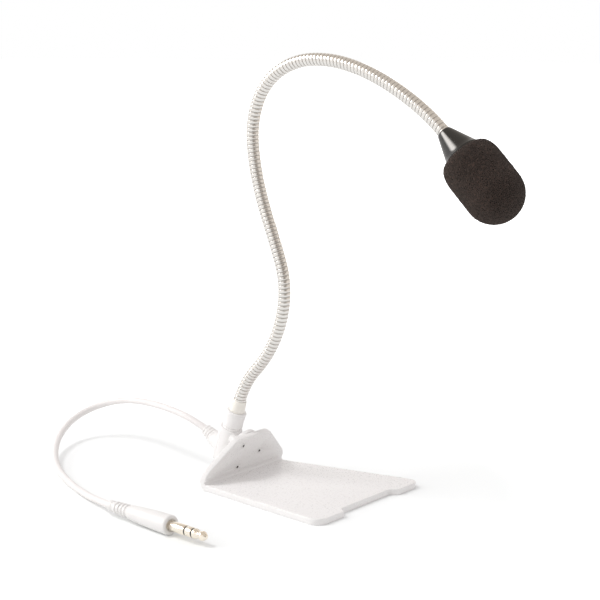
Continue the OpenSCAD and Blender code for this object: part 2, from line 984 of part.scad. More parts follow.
// Two rings for each stretch of the route
cord_path = concat(
    [for (i = [0 : len(cord_ends) - 2]) for (t = [0, 0.5]) smooth_point(cord_ends, i, t)],
    [cord_ends[len(cord_ends) - 1]]
);

// A closed tube of n sides swept along a list of points
module swept_tube(path, r, n) {
    rings = len(path);
    up = [0, 0, 1];
    points = [
        for (i = [0 : rings - 1])
            let (
                d = path[min(i + 1, rings - 1)] - path[max(i - 1, 0)],
                side = cross(d, up) / norm(cross(d, up)),
                rise = cross(side, d) / norm(cross(side, d))
            )
            for (k = [0 : n - 1])
                path[i] + r * (cos(360 * k / n) * side + sin(360 * k / n) * rise)
    ];
    sides = [
        for (i = [0 : rings - 2])
            for (k = [0 : n - 1])
                [i * n + k, i * n + (k + 1) % n, (i + 1) * n + (k + 1) % n, (i + 1) * n + k]
    ];
    polyhedron(points, concat(
        [[for (k = [n - 1 : -1 : 0]) k]],
        sides,
        [[for (k = [0 : n - 1]) (rings - 1) * n + k]]
    ));
}

module cord() {
    color(white_shell)
        swept_tube(cord_path, cord_d / 2, 8);
}

module plug_boot() {
    rib_pitch = 11 / boot_ribs;
    color(white_shell)
    on_plug()
    difference() {
        union() {
            translate([0, 0, -handle_len - boot_len])
                cylinder(h = boot_len, r1 = boot_end_d / 2 - 0.5, r2 = boot_d / 2 - 0.5);
            for (i = [0 : boot_ribs - 1])
                translate([0, 0, -handle_len - 1.2 - (i + 1) * rib_pitch])
                    rib(boot_d / 2 - 0.1 * i, rib_pitch * 0.6);
            translate([0, 0, -handle_len - boot_len])
                rib(boot_end_d / 2, 4);
        }
        translate([0, 0, -handle_len - boot_len - 1])
            cylinder(h = cord_in_boot + 1, r = cord_d / 2 + fit);
    }
}

module plug_handle() {
    rear = handle_rear_d / 2;
    swell = [
        for (k = [0 : 8])
            [rear + (handle_r - rear) * sin(90 * k / 8), -handle_len + 0.6 + (handle_len - 2.6) * k / 8]
    ];
    color(white_shell)
    on_plug()
    rotate_extrude()
        polygon(concat(
            [[0, -handle_len], [rear - 0.5, -handle_len]],
            swell,
            [
                [handle_r, -0.8],
                [handle_r - 0.5, 0],
                [jack_r + 0.8, 0],
                [jack_r + 0.8, -recess_depth],
                [tail_r + fit, -recess_depth],
                [tail_r + fit, bore_end],
                [0, bore_end]
            ]
        ));
}

// Bores and tails of the concentric contacts, from the middle out
rod_r = jack_d * 0.157;
tube_1 = jack_d * 0.236;
tube_2 = jack_d * 0.307;
tube_3 = jack_d * 0.37;
tail_r = jack_d * 0.457;

module plug_sleeve() {
    color(gold)
    on_plug()
    rotate_extrude()
        polygon([
            [tube_3 + fit, tail_end],
            [tail_r, tail_end],
            [tail_r, -recess_depth],
            [jack_r, -recess_depth],
            [jack_r, sleeve_len - 0.2],
            [jack_r - 0.2, sleeve_len],
            [tube_3 + fit, sleeve_len]
        ]);
}

module plug_rear_washer() {
    color([0.05, 0.05, 0.05])
    on_plug()
    rotate_extrude()
        polygon([
            [tube_2 + fit, tail_end + 2],
            [tube_3, tail_end + 2],
            [tube_3, rear_washer_z],
            [jack_r - washer_inset, rear_washer_z],
            [jack_r - washer_inset, ring_z],
            [tube_2 + fit, ring_z]
        ]);
}

module plug_ring() {
    color(gold)
    on_plug()
    rotate_extrude()
        polygon([
            [tube_1 + fit, tail_end + 1],
            [tube_2, tail_end + 1],
            [tube_2, ring_z],
            [jack_r - 0.2, ring_z],
            [jack_r, ring_z + 0.2],
            [jack_r, front_washer_z - 0.2],
            [jack_r - 0.2, front_washer_z],
            [tube_1 + fit, front_washer_z]
        ]);
}

module plug_front_washer() {
    color([0.05, 0.05, 0.05])
    on_plug()
    rotate_extrude()
        polygon([
            [rod_r + fit, tail_end + 0.5],
            [tube_1, tail_end + 0.5],
            [tube_1, front_washer_z],
            [jack_r - washer_inset, front_washer_z],
            [jack_r - washer_inset, tip_z],
            [rod_r + fit, tip_z]
        ]);
}

module plug_tip() {
    waist = tip_z + tip_len * 0.44;
    bulb = tip_z + tip_len * 0.66;
    end = tip_z + tip_len;
    color(gold)
    on_plug()
    rotate_extrude()
        polygon([
            [0, tail_end - 0.5],
            [rod_r, tail_end - 0.5],
            [rod_r, tip_z],
            [jack_r - 0.15, tip_z],
            [jack_r, tip_z + 0.2],
            [jack_r, tip_z + 1.4],
            [jack_r * 0.72, waist],
            [jack_r * 0.90, bulb - 0.9],
            [jack_r * 0.94, bulb],
            [jack_r * 0.86, bulb + 1],
            [jack_r * 0.48, end - 0.9],
            [jack_r * 0.30, end - 0.2],
            [0, end]
        ]);
}

// ---- the part ----

base_plate();
wall_screws();
front_shell();
rear_shell();
terminal_board();
neck_collar();
neck_ferrule();
clamp_nut();
cord_relief();
neck_link(0);  // neck_link_01
neck_link(1);  // neck_link_02
neck_link(2);  // neck_link_03
neck_link(3);  // neck_link_04
neck_link(4);  // neck_link_05
neck_link(5);  // neck_link_06
neck_link(6);  // neck_link_07
neck_link(7);  // neck_link_08
neck_link(8);  // neck_link_09
neck_link(9);  // neck_link_10
neck_link(10);  // neck_link_11
neck_link(11);  // neck_link_12
neck_link(12);  // neck_link_13
neck_link(13);  // neck_link_14
mic_lead(0);  // mic_lead_01
mic_lead(1);  // mic_lead_02
mic_lead(2);  // mic_lead_03
mic_lead(3);  // mic_lead_04
mic_lead(4);  // mic_lead_05
mic_lead(5);  // mic_lead_06
mic_lead(6);  // mic_lead_07
mic_lead(7);  // mic_lead_08
mic_lead(8);  // mic_lead_09
mic_lead(9);  // mic_lead_10
mic_lead(10);  // mic_lead_11
mic_lead(11);  // mic_lead_12
mic_lead(12);  // mic_lead_13
mic_lead(13);  // mic_lead_14
head_cone();
head_nut();
capsule_barrel();
capsule_holder();
capsule();
barrel_grille();
windscreen();
cord();
plug_boot();
plug_handle();
plug_sleeve();
plug_rear_washer();
plug_ring();
plug_front_washer();
plug_tip();
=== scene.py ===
"""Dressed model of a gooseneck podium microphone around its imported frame.

Every sub-assembly is one class: its sizes are fields in millimetres, and its
methods build the meshes and dress them. The main function builds them in
order, starting with the camera and the cord.
"""

from __future__ import annotations

import logging
import math
from dataclasses import dataclass, field
from enum import Enum
from typing import Callable, Iterable, Sequence

import bpy
from mathutils import Matrix, Vector


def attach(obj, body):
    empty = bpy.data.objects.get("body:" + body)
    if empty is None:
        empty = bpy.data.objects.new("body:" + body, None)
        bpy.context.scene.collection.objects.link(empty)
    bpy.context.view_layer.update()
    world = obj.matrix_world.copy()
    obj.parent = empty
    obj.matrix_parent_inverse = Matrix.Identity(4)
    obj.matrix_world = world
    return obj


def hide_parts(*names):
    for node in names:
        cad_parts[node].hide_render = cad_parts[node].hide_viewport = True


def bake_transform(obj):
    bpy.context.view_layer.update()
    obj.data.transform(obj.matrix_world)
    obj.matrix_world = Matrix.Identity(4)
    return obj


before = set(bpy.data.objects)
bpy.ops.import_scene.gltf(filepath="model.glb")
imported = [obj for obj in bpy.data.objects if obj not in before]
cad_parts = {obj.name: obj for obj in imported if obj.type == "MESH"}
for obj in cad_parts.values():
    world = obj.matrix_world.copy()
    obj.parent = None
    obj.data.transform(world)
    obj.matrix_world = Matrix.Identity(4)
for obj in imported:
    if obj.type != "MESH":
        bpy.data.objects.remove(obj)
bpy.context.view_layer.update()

MM = 0.001
WELD = 0.002 * MM
LOG = logging.getLogger("podium_microphone")

Piece = bpy.types.Object
Socket = bpy.types.NodeSocket
Pair = tuple[float, float]
Triple = tuple[float, float, float]
Profile = Sequence[Pair]


class Slot(Enum):
    """Material slots of the record, one named by each finish."""

    PLATE = "acrylic_white"
    SCREW = "screw_white"
    MOULDED = "moulded_white"
    BOARD = "board_green"
    FERRULE = "ferrule_cream"
    STEEL = "steel"
    NECK = "neck_nickel"
    LEAD = "lead_grey"
    GLOSS = "gloss_black"
    INNER = "inner_black"
    FOAM = "foam_charcoal"
    CORD = "cord_white"
    HANDLE = "handle_white"
    CONTACT = "contact_gold"


class Body(Enum):
    """Bodies of the frame that pieces ride on."""

    STAND = "stand"
    HEAD = "head"
    FOAM = "foam_cover"


# ---------------------------------------------------------------- frames


def turn_x(degrees: float) -> Matrix:
    """Returns a turn about the X axis."""
    return Matrix.Rotation(math.radians(degrees), 4, "X")


def turn_z(degrees: float) -> Matrix:
    """Returns a turn about the Z axis."""
    return Matrix.Rotation(math.radians(degrees), 4, "Z")


def shift(x: float, y: float, z: float) -> Matrix:
    """Returns a move by so many millimetres."""
    return Matrix.Translation(Vector((x, y, z)) * MM)


@dataclass(frozen=True)
class Layout:
    """Places that several sub-assemblies share, in millimetres and degrees."""

    plate_t: float = 4.2
    crease_y: float = 53.5
    wall_lean: float = 19.5
    axis_out: float = 19.5
    port_s: float = 7.6
    port_tilt: float = 12.0
    body_top: float = 24.5
    collar_h: float = 13.0
    ferrule_h: float = 8.6
    link_len: float = 27.1
    neck_turns: tuple[int, ...] = (25, -18, -20, -26, -3, 7, 11, 28, 37, 27, 16, 11, 8, 10)
    plug_at: Triple = (-124.0, 7.5, 6.2)
    plug_turn: float = 7.0

    def wall(self) -> Matrix:
        """Returns the wall's frame: Y out through its back, Z up along it."""
        return shift(0, self.crease_y, self.plate_t) @ turn_x(self.wall_lean)

    def axis(self) -> Matrix:
        """Returns the neck axis' frame: Z climbs it, Y points off the wall."""
        return self.wall() @ shift(0, self.axis_out, 0)

    def port(self) -> Matrix:
        """Returns the cord port's frame, whose Z points out of the housing."""
        return self.axis() @ shift(0, 0, self.port_s) @ turn_x(self.port_tilt - 90)

    def plug(self) -> Matrix:
        """Returns the plug's frame, whose Z points to its tip."""
        return shift(*self.plug_at) @ turn_z(-self.plug_turn) @ turn_x(90)

    @property
    def collar_top(self) -> float:
        """Height of the collar's top along the neck axis."""
        return self.body_top + self.collar_h

    @property
    def neck_root(self) -> float:
        """Height along the neck axis at which the gooseneck starts."""
        return self.collar_top + self.ferrule_h

    @property
    def neck_length(self) -> float:
        """Length of the gooseneck along its own line."""
        return self.link_len * len(self.neck_turns)

    def link(self, index: int) -> Matrix:
        """Returns the frame in which link number index starts.

        Args:
            index: Number of the link from 0; the number of links gives the head's frame.
        """
        place = self.axis() @ shift(0, 0, self.neck_root)
        for turn in self.neck_turns[:index]:
            place = place @ self.arc(turn, 1.0)
        return place

    def arc(self, turn: float, share: float) -> Matrix:
        """Returns the step along a link's arc, seen from the link's start.

        Args:
            turn: Bend of the whole link in degrees, forward when positive.
            share: Part of the link's length that is travelled.
        """
        radius = self.link_len / math.radians(turn)
        angle = math.radians(turn) * share
        step = shift(0, -radius * (1 - math.cos(angle)), radius * math.sin(angle))
        return step @ Matrix.Rotation(angle, 4, "X")

    def along_neck(self, distance: float) -> Matrix:
        """Returns the frame on the gooseneck's own line.

        Args:
            distance: Millimetres from the ferrule; both ends run on straight.
        """
        last = len(self.neck_turns) - 1
        index = min(max(int(distance // self.link_len), 0), last)
        share = distance / self.link_len - index
        if 0 <= share <= 1:
            return self.link(index) @ self.arc(self.neck_turns[index], share)
        start, beyond = (0, distance) if share < 0 else (last + 1, distance - self.neck_length)
        return self.link(start) @ shift(0, 0, beyond)

    def head(self) -> Matrix:
        """Returns the head's frame, whose Z runs to the windscreen's tip."""
        return self.link(len(self.neck_turns))


LAYOUT = Layout()


# ------------------------------------------------------- modelling by hand


def deselect() -> None:
    """Clears the selection, so that an operator acts on the new piece only."""
    if bpy.context.object and bpy.context.object.mode != "OBJECT":
        bpy.ops.object.mode_set(mode="OBJECT")
    bpy.ops.object.select_all(action="DESELECT")


def take(piece: Piece) -> None:
    """Makes a piece the only selected one, and active."""
    deselect()
    piece.select_set(True)
    bpy.context.view_layer.objects.active = piece


def edit(piece: Piece) -> None:
    """Opens a piece in edit mode with its whole mesh selected."""
    take(piece)
    bpy.ops.object.mode_set(mode="EDIT")
    bpy.ops.mesh.select_all(action="SELECT")


def close_mesh() -> None:
    """Merges doubles, turns the faces outwards and leaves edit mode."""
    bpy.ops.mesh.select_all(action="SELECT")
    bpy.ops.mesh.remove_doubles(threshold=WELD)
    bpy.ops.mesh.delete_loose(use_verts=True, use_edges=True, use_faces=False)
    bpy.ops.mesh.select_all(action="SELECT")
    bpy.ops.mesh.normals_make_consistent(inside=False)
    bpy.ops.object.mode_set(mode="OBJECT")


def name_piece(name: str) -> Piece:
    """Names the active object and its data, and returns it."""
    piece = bpy.context.object
    piece.name = name
    piece.data.name = name
    return piece


def draw_wire(name: str, points: Sequence[Vector]) -> Piece:
    """Draws a chain of edges by extruding one vertex from point to point.

    Args:
        name: Name of the new piece.
        points: Places in metres; a closed chain ends where it starts.

    Returns:
        The piece, still in edit mode with its last vertex selected.
    """
    deselect()
    bpy.ops.mesh.primitive_plane_add(size=MM)
    piece = name_piece(name)
    bpy.ops.object.mode_set(mode="EDIT")
    bpy.ops.mesh.merge(type="CENTER")
    bpy.ops.transform.translate(value=points[0])
    for here, there in zip(points, points[1:]):
        bpy.ops.mesh.extrude_vertices_move(TRANSFORM_OT_translate={"value": there - here})
    return piece


def lathe(name: str, profile: Profile, place: Matrix, steps: int = 64) -> Piece:
    """Turns a profile about the Z axis of a place.

    Args:
        name: Name of the new piece.
        profile: Radius and height pairs in millimetres; a bored piece's
            profile ends where it starts.
        place: Frame of the turned piece.
        steps: Facets round the piece.

    Returns:
        The closed piece, in object mode.
    """
    piece = draw_wire(name, [place @ (Vector((radius, 0, height)) * MM) for radius, height in profile])
    bpy.ops.mesh.select_all(action="SELECT")
    axis = place.to_3x3() @ Vector((0, 0, 1))
    bpy.ops.mesh.spin(steps=steps, angle=math.tau, center=place.translation, axis=axis)
    close_mesh()
    return piece


def add_modifier(piece: Piece, kind: str, **settings: object) -> None:
    """Adds a modifier with its settings and applies it."""
    take(piece)
    modifier = piece.modifiers.new(kind.lower(), kind)
    for key, value in settings.items():
        setattr(modifier, key, value)
    bpy.ops.object.modifier_apply(modifier=modifier.name)


def soften_edges(piece: Piece, width: float, segments: int = 3, angle: float = 28) -> None:
    """Rounds every edge that is sharper than an angle.

    Args:
        piece: The piece to finish.
        width: Width of the rounding in millimetres.
        segments: Faces across the rounding.
        angle: Smallest angle in degrees between two faces that counts as an edge.
    """
    add_modifier(
        piece, "BEVEL", width=width * MM, segments=segments, limit_method="ANGLE",
        angle_limit=math.radians(angle), use_clamp_overlap=True,
    )


def smooth(piece: Piece, angle: float = 30) -> None:
    """Shades a piece smooth, apart from edges sharper than the angle."""
    take(piece)
    bpy.ops.object.shade_smooth_by_angle(angle=math.radians(angle))


def turned(name: str, profile: Profile, place: Matrix, steps: int = 64, edge: float = 0.12) -> Piece:
    """Turns a profile, rounds its edges and shades it.

    Args:
        name: Name of the new piece.
        profile: Radius and height pairs in millimetres.
        place: Frame of the turned piece.
        steps: Facets round the piece.
        edge: Width of the rounded edges in millimetres.
    """
    piece = lathe(name, profile, place, steps)
    soften_edges(piece, edge, 2)
    smooth(piece, 50)
    return piece


def quarter(steps: int) -> list[Pair]:
    """Returns the sine and cosine at equal steps over a quarter turn."""
    angles = (math.pi / 2 * step / steps for step in range(steps + 1))
    return [(math.sin(angle), math.cos(angle)) for angle in angles]


def move_vertices(piece: Piece, place: Callable[[Vector], Vector]) -> None:
    """Gives every vertex of a piece a new place, worked out from its old one."""
    for vertex in piece.data.vertices:
        vertex.co = place(vertex.co)
    piece.data.update()


def copy_piece(piece: Piece, name: str) -> Piece:
    """Returns a copy of a piece with a mesh of its own."""
    take(piece)
    bpy.ops.object.duplicate()
    return name_piece(name)


def copy_node(node: str, name: str) -> Piece:
    """Returns a free copy of a frame node, its loose triangles merged.

    Args:
        node: Name of the node.
        name: Name of the new piece.
    """
    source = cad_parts[node]
    piece = bpy.data.objects.new(name, source.data.copy())
    piece.data.name = name
    bpy.context.scene.collection.objects.link(piece)
    piece.matrix_world = source.matrix_world
    take(piece)
    bpy.ops.object.transform_apply(location=True, rotation=True, scale=True)
    edit(piece)
    bpy.ops.mesh.remove_doubles(threshold=WELD / 2)
    bpy.ops.object.mode_set(mode="OBJECT")
    return piece


def discard(piece: Piece) -> None:
    """Deletes a pattern or a cutter that has done its work."""
    bpy.data.objects.remove(piece, do_unlink=True)


def subtract(piece: Piece, cutter: Piece) -> None:
    """Cuts one piece out of another and deletes the cutter."""
    add_modifier(piece, "BOOLEAN", operation="DIFFERENCE", solver="EXACT", object=cutter)
    discard(cutter)


def join(pieces: Sequence[Piece], name: str) -> Piece:
    """Joins pieces into the first of them and names it."""
    take(pieces[0])
    for piece in pieces:
        piece.select_set(True)
    bpy.ops.object.join()
    bpy.context.object.name = name
    return bpy.context.object


# ------------------------------------------------------------ node graphs


class Graph:
    """Adds nodes to one node tree and wires them up."""

    def __init__(self, tree: bpy.types.NodeTree) -> None:
        """Keeps the tree that the nodes go into."""
        self.tree = tree

    @classmethod
    def of(cls, owner: bpy.types.Material | bpy.types.World) -> Graph:
        """Returns the graph of a material or a world, with no node in it yet."""
        owner.use_nodes = True
        owner.node_tree.nodes.clear()
        return cls(owner.node_tree)

    def fill(self, node: bpy.types.Node, inputs: dict) -> bpy.types.Node:
        """Gives a node its inputs and returns it.

        Args:
            node: The node.
            inputs: Values or output sockets by the input's name or number.
        """
        for key, value in inputs.items():
            if isinstance(value, Socket):
                self.tree.links.new(value, node.inputs[key])
            else:
                node.inputs[key].default_value = value
        return node

    def add(self, kind: str, inputs: dict | None = None, **settings: object) -> bpy.types.Node:
        """Adds one node.

        Args:
            kind: Blender's type name of the node, without "ShaderNode".
            inputs: Values or output sockets by the input's name or number.
            settings: Properties of the node itself.

        Returns:
            The new node.
        """
        node = self.tree.nodes.new("ShaderNode" + kind)
        for key, value in settings.items():
            setattr(node, key, value)
        return self.fill(node, inputs or {})

    def place(self, group: bpy.types.NodeTree, inputs: dict) -> bpy.types.bpy_prop_collection:
        """Places a node group with its values and returns its outputs."""
        return self.add("Group", inputs, node_tree=group).outputs

    def maths(self, operation: str, first: object, second: object = 0.0) -> Socket:
        """Returns the result of a Math node."""
        return self.add("Math", {0: first, 1: second}, operation=operation).outputs[0]

    def vector(self, operation: str, inputs: dict) -> bpy.types.bpy_prop_collection:
        """Returns the outputs of a Vector Math node."""
        return self.add("VectorMath", inputs, operation=operation).outputs

    def span(self, value: object, low: float, high: float, to_low: float = 0, to_high: float = 1) -> Socket:
        """Returns a value mapped from one range to another, clamped."""
        inputs = {"Value": value, "From Min": low, "From Max": high, "To Min": to_low, "To Max": to_high}
        return self.add("MapRange", inputs).outputs["Result"]

    def blend(self, factor: object, first: object, second: object) -> Socket:
        """Returns the result of a colour Mix node."""
        node = self.add("Mix", data_type="RGBA")
        for key, value in (("Factor", factor), ("A", first), ("B", second)):
            socket = next(s for s in node.inputs if s.name == key and (key == "Factor" or s.type == "RGBA"))
            if isinstance(value, Socket):
                self.tree.links.new(value, socket)
            else:
                socket.default_value = value if key == "Factor" else (*value, 1.0)
        return next(s for s in node.outputs if s.type == "RGBA")

    def noise(self, place: object, scale: float, detail: float = 4, rough: float = 0.6) -> Socket:
        """Returns the value of a Noise texture."""
        inputs = {"Vector": place, "Scale": scale, "Detail": detail, "Roughness": rough}
        return self.add("TexNoise", inputs).outputs[0]


def make_group(
    name: str,
    inputs: Sequence[tuple[str, str, object]],
    outputs: Sequence[tuple[str, str]],
    build: Callable[[Graph, dict], dict],
) -> bpy.types.NodeTree:
    """Builds a shader node group once, and returns it again later.

    Args:
        name: Name of the group.
        inputs: Name, socket type and starting value of each input.
        outputs: Name and socket type of each output.
        build: Fills the group, given its graph and inputs, and returns its outputs.

    Returns:
        The node group.
    """
    tree = bpy.data.node_groups.get(name)
    if tree:
        return tree
    tree = bpy.data.node_groups.new(name, "ShaderNodeTree")
    for label, kind, value in inputs:
        socket = tree.interface.new_socket(label, in_out="INPUT", socket_type="NodeSocket" + kind)
        if value is not None:
            socket.default_value = value
    for label, kind in outputs:
        tree.interface.new_socket(label, in_out="OUTPUT", socket_type="NodeSocket" + kind)
    source, sink = tree.nodes.new("NodeGroupInput"), tree.nodes.new("NodeGroupOutput")
    graph = Graph(tree)
    graph.fill(sink, build(graph, source.outputs))
    return tree


def tone_drift_group() -> bpy.types.NodeTree:
    """Returns the group that lets a colour drift softly over a surface."""

    def build(graph: Graph, source: dict) -> dict:
        """Fills the group."""
        broad = graph.span(graph.noise(source["Vector"], scale=35, detail=3), 0.3, 0.7, -1, 1)
        fine = graph.span(graph.noise(source["Vector"], scale=900, detail=2), 0.3, 0.7, -0.5, 0.5)
        drift = graph.maths("MULTIPLY", graph.maths("ADD", broad, fine), source["Amount"])
        mixed = graph.vector("SCALE", {0: source["Color"], "Scale": graph.maths("ADD", 1.0, drift)})
        return {"Color": mixed[0]}

    return make_group(
        "tone_drift",
        [("Vector", "Vector", None), ("Color", "Color", (1, 1, 1, 1)), ("Amount", "Float", 0.02)],
        [("Color", "Color")],
        build,
    )


def moulded_grain_group() -> bpy.types.NodeTree:
    """Returns the group for the fine grain of a moulded surface."""

    def build(graph: Graph, source: dict) -> dict:
        """Fills the group."""
        scaled = graph.vector("SCALE", {0: source["Vector"], "Scale": source["Scale"]})[0]
        pits = graph.add("TexVoronoi", {"Vector": scaled, "Scale": 1.0}, feature="SMOOTH_F1")
        waves = graph.noise(scaled, scale=0.35)
        height = graph.maths("ADD", graph.maths("MULTIPLY", pits.outputs["Distance"], 0.6), waves)
        return {"Height": height, "Mask": graph.span(waves, 0.35, 0.65)}

    return make_group(
        "moulded_grain",
        [("Vector", "Vector", None), ("Scale", "Float", 2500.0)],
        [("Height", "Float"), ("Mask", "Float")],
        build,
    )


def handling_group() -> bpy.types.NodeTree:
    """Returns the group for hairline scuffs and a thin film of dust."""

    def build(graph: Graph, source: dict) -> dict:
        """Fills the group."""
        stretch = {"Vector": source["Vector"], "Scale": (60, 900, 300), "Rotation": (0.3, 0.2, 0.7)}
        lines = graph.noise(graph.add("Mapping", stretch).outputs[0], scale=1.0, detail=2)
        patches = graph.noise(source["Vector"], scale=60, detail=3)
        scuffs = graph.maths("MULTIPLY", graph.span(lines, 0.62, 0.72), graph.span(patches, 0.5, 0.65))
        upward = graph.add("SeparateXYZ", {0: graph.add("NewGeometry").outputs["Normal"]}).outputs["Z"]
        specks = graph.noise(source["Vector"], scale=1500, detail=2)
        dust = graph.maths("MULTIPLY", graph.span(upward, 0.2, 1.0), graph.span(specks, 0.55, 0.8))
        return {"Scuffs": scuffs, "Dust": dust}

    return make_group(
        "handling_marks", [("Vector", "Vector", None)], [("Scuffs", "Float"), ("Dust", "Float")], build
    )


def foam_cell_group() -> bpy.types.NodeTree:
    """Returns the group for the open cells of reticulated foam."""

    def build(graph: Graph, source: dict) -> dict:
        """Fills the group."""
        warp = graph.add("TexNoise", {"Vector": source["Vector"], "Scale": 700.0, "Detail": 2.0})
        offset = graph.vector("SCALE", {0: warp.outputs["Color"], "Scale": 0.0006})[0]
        place = graph.vector("ADD", {0: source["Vector"], 1: offset})[0]
        walls = graph.add(
            "TexVoronoi", {"Vector": place, "Scale": source["Scale"]}, feature="DISTANCE_TO_EDGE"
        )
        struts = graph.span(walls.outputs["Distance"], 0.02, 0.22, 1, 0)
        fuzz = graph.noise(source["Vector"], scale=2600, detail=3)
        return {"Struts": struts, "Height": graph.maths("ADD", struts, graph.maths("MULTIPLY", fuzz, 0.5))}

    return make_group(
        "foam_cells",
        [("Vector", "Vector", None), ("Scale", "Float", 900.0)],
        [("Struts", "Float"), ("Height", "Float")],
        build,
    )


# --------------------------------------------------------------- finishes


@dataclass(frozen=True)
class Finish:
    """A finish with fine grain, a drifting tone and traces of handling.

    Roughness and metallic are the shader's own values; grain_depth is in
    millimetres, and drift, scuffs and dust are shares from 0 to 1.
    """

    name: str
    slot: Slot
    colour: Triple
    roughness: float
    metallic: float = 0.0
    coat: float = 0.0
    coat_rough: float = 0.05
    grain_scale: float = 2500.0
    grain_depth: float = 0.004
    drift: float = 0.015
    scuffs: float = 0.08
    dust: float = 0.03
    dust_colour: Triple = (0.55, 0.53, 0.50)
    uneven: float = 0.06
    smoothest: float = 0.03
    shine: float = 0.5

    def material(self) -> bpy.types.Material:
        """Returns the finish's material, which is built once."""
        found = bpy.data.materials.get(self.name)
        if found:
            return found
        material = bpy.data.materials.new(self.name)
        graph = Graph.of(material)
        place = graph.add("TexCoord").outputs["Object"]
        colour, rough, height = self.surface(graph, place)
        bump = graph.add("Bump", {"Height": height, "Strength": 1.0, "Distance": self.grain_depth * MM})
        varied = {"Base Color": colour, "Roughness": rough, "Normal": bump.outputs[0]}
        shader = graph.add("BsdfPrincipled", {**varied, **self.uniform()})
        graph.add("OutputMaterial", {"Surface": shader.outputs[0]})
        material.diffuse_color = (*self.colour, 1.0)
        return material

    def surface(self, graph: Graph, place: Socket) -> tuple[Socket, Socket, Socket]:
        """Builds what varies over the surface.

        Args:
            graph: Graph of the material.
            place: Coordinates that the pattern follows.

        Returns:
            Sockets for the colour, the roughness and the bump's height.
        """
        grain = graph.place(moulded_grain_group(), {"Vector": place, "Scale": self.grain_scale})
        tone = graph.place(
            tone_drift_group(), {"Vector": place, "Color": (*self.colour, 1.0), "Amount": self.drift}
        )
        marks = graph.place(handling_group(), {"Vector": place})
        dusty = graph.maths("MULTIPLY", marks["Dust"], self.dust)
        colour = graph.blend(dusty, tone["Color"], self.dust_colour)
        worn = graph.maths("MULTIPLY", marks["Scuffs"], self.scuffs)
        uneven = graph.maths("MULTIPLY", graph.maths("SUBTRACT", grain["Mask"], 0.5), self.uneven)
        rough = graph.maths("ADD", graph.maths("ADD", self.roughness, worn), uneven)
        return colour, graph.maths("MAXIMUM", rough, self.smoothest), grain["Height"]

    def uniform(self) -> dict[str, object]:
        """Returns the shader's values that are the same all over."""
        return {
            "Metallic": self.metallic, "Specular IOR Level": self.shine,
            "Coat Weight": self.coat, "Coat Roughness": self.coat_rough,
        }


@dataclass(frozen=True)
class Grooved(Finish):
    """A finish darkened by grime and painted shade where the attribute valley is high."""

    grime_and_shade: Triple = (0.035, 0.027, 0.022)
    grime_and_shade_share: float = 0.95
    grime_and_shade_from: float = 0.35
    grime_and_shade_rough: float = 0.3

    def surface(self, graph: Graph, place: Socket) -> tuple[Socket, Socket, Socket]:
        """Adds the grime and the painted shade of the valleys to the plain finish."""
        colour, rough, height = super().surface(graph, place)
        valley = graph.add("Attribute", attribute_name="valley").outputs["Fac"]
        # Painted shade, with some grime, darkens the colour deep in the valleys and recesses.
        grime_and_shade_mask = graph.maths("MULTIPLY", graph.span(valley, self.grime_and_shade_from, 1.0), self.grime_and_shade_share)
        grime_and_shade_colour = graph.blend(grime_and_shade_mask, colour, self.grime_and_shade)
        return grime_and_shade_colour, graph.maths("ADD", rough, graph.maths("MULTIPLY", grime_and_shade_mask, self.grime_and_shade_rough)), height


@dataclass(frozen=True)
class OpenFoam(Finish):
    """Reticulated foam: pale struts over cells darkened with painted shade."""

    cell_shade_colour: Triple = (0.010, 0.007, 0.006)
    cell_scale: float = 1200.0
    sheen: float = 0.16
    sheen_rough: float = 0.5
    sheen_tint: Triple = (0.75, 0.68, 0.62)

    def surface(self, graph: Graph, place: Socket) -> tuple[Socket, Socket, Socket]:
        """Builds the struts, the painted shade in the cells and the fuzz."""
        cells = graph.place(foam_cell_group(), {"Vector": place, "Scale": self.cell_scale})
        shade = graph.span(graph.noise(place, scale=60, detail=3), 0.3, 0.7, 0.8, 1.15)
        lit = graph.vector("SCALE", {0: self.colour, "Scale": shade})[0]
        # Painted shade: the cells between the struts take a near-black colour.
        colour = graph.blend(cells["Struts"], self.cell_shade_colour, lit)
        return colour, graph.span(cells["Struts"], 0, 1, 0.98, 0.85), cells["Height"]

    def uniform(self) -> dict[str, object]:
        """Adds the soft sheen of the fuzz."""
        sheen = {"Sheen Weight": self.sheen, "Sheen Roughness": self.sheen_rough}
        return {**super().uniform(), **sheen, "Sheen Tint": (*self.sheen_tint, 1.0)}


PLATE_WHITE = Finish(
    "plate_white", Slot.PLATE, (0.86, 0.845, 0.835), 0.28,
    grain_depth=0.0005, drift=0.006, dust=0.01, uneven=0.02,
)
MOULDED_WHITE = Finish(
    "moulded_white_finish", Slot.MOULDED, (0.865, 0.85, 0.84), 0.42, grain_depth=0.006, drift=0.01, shine=0.35
)
HANDLE_WHITE = Finish(
    "handle_white_finish", Slot.HANDLE, (0.815, 0.80, 0.785), 0.38, drift=0.01, shine=0.35
)
CORD_WHITE = Finish(
    "cord_white_finish", Slot.CORD, (0.83, 0.80, 0.785), 0.48,
    grain_scale=1800.0, grain_depth=0.008, shine=0.35,
)
RELIEF_WHITE = Finish(
    "relief_white_finish", Slot.MOULDED, (0.90, 0.885, 0.87), 0.5, grain_depth=0.008, shine=0.35
)
FERRULE_CREAM = Finish(
    "ferrule_cream_finish", Slot.FERRULE, (0.90, 0.87, 0.805), 0.40, grain_depth=0.006, shine=0.35
)
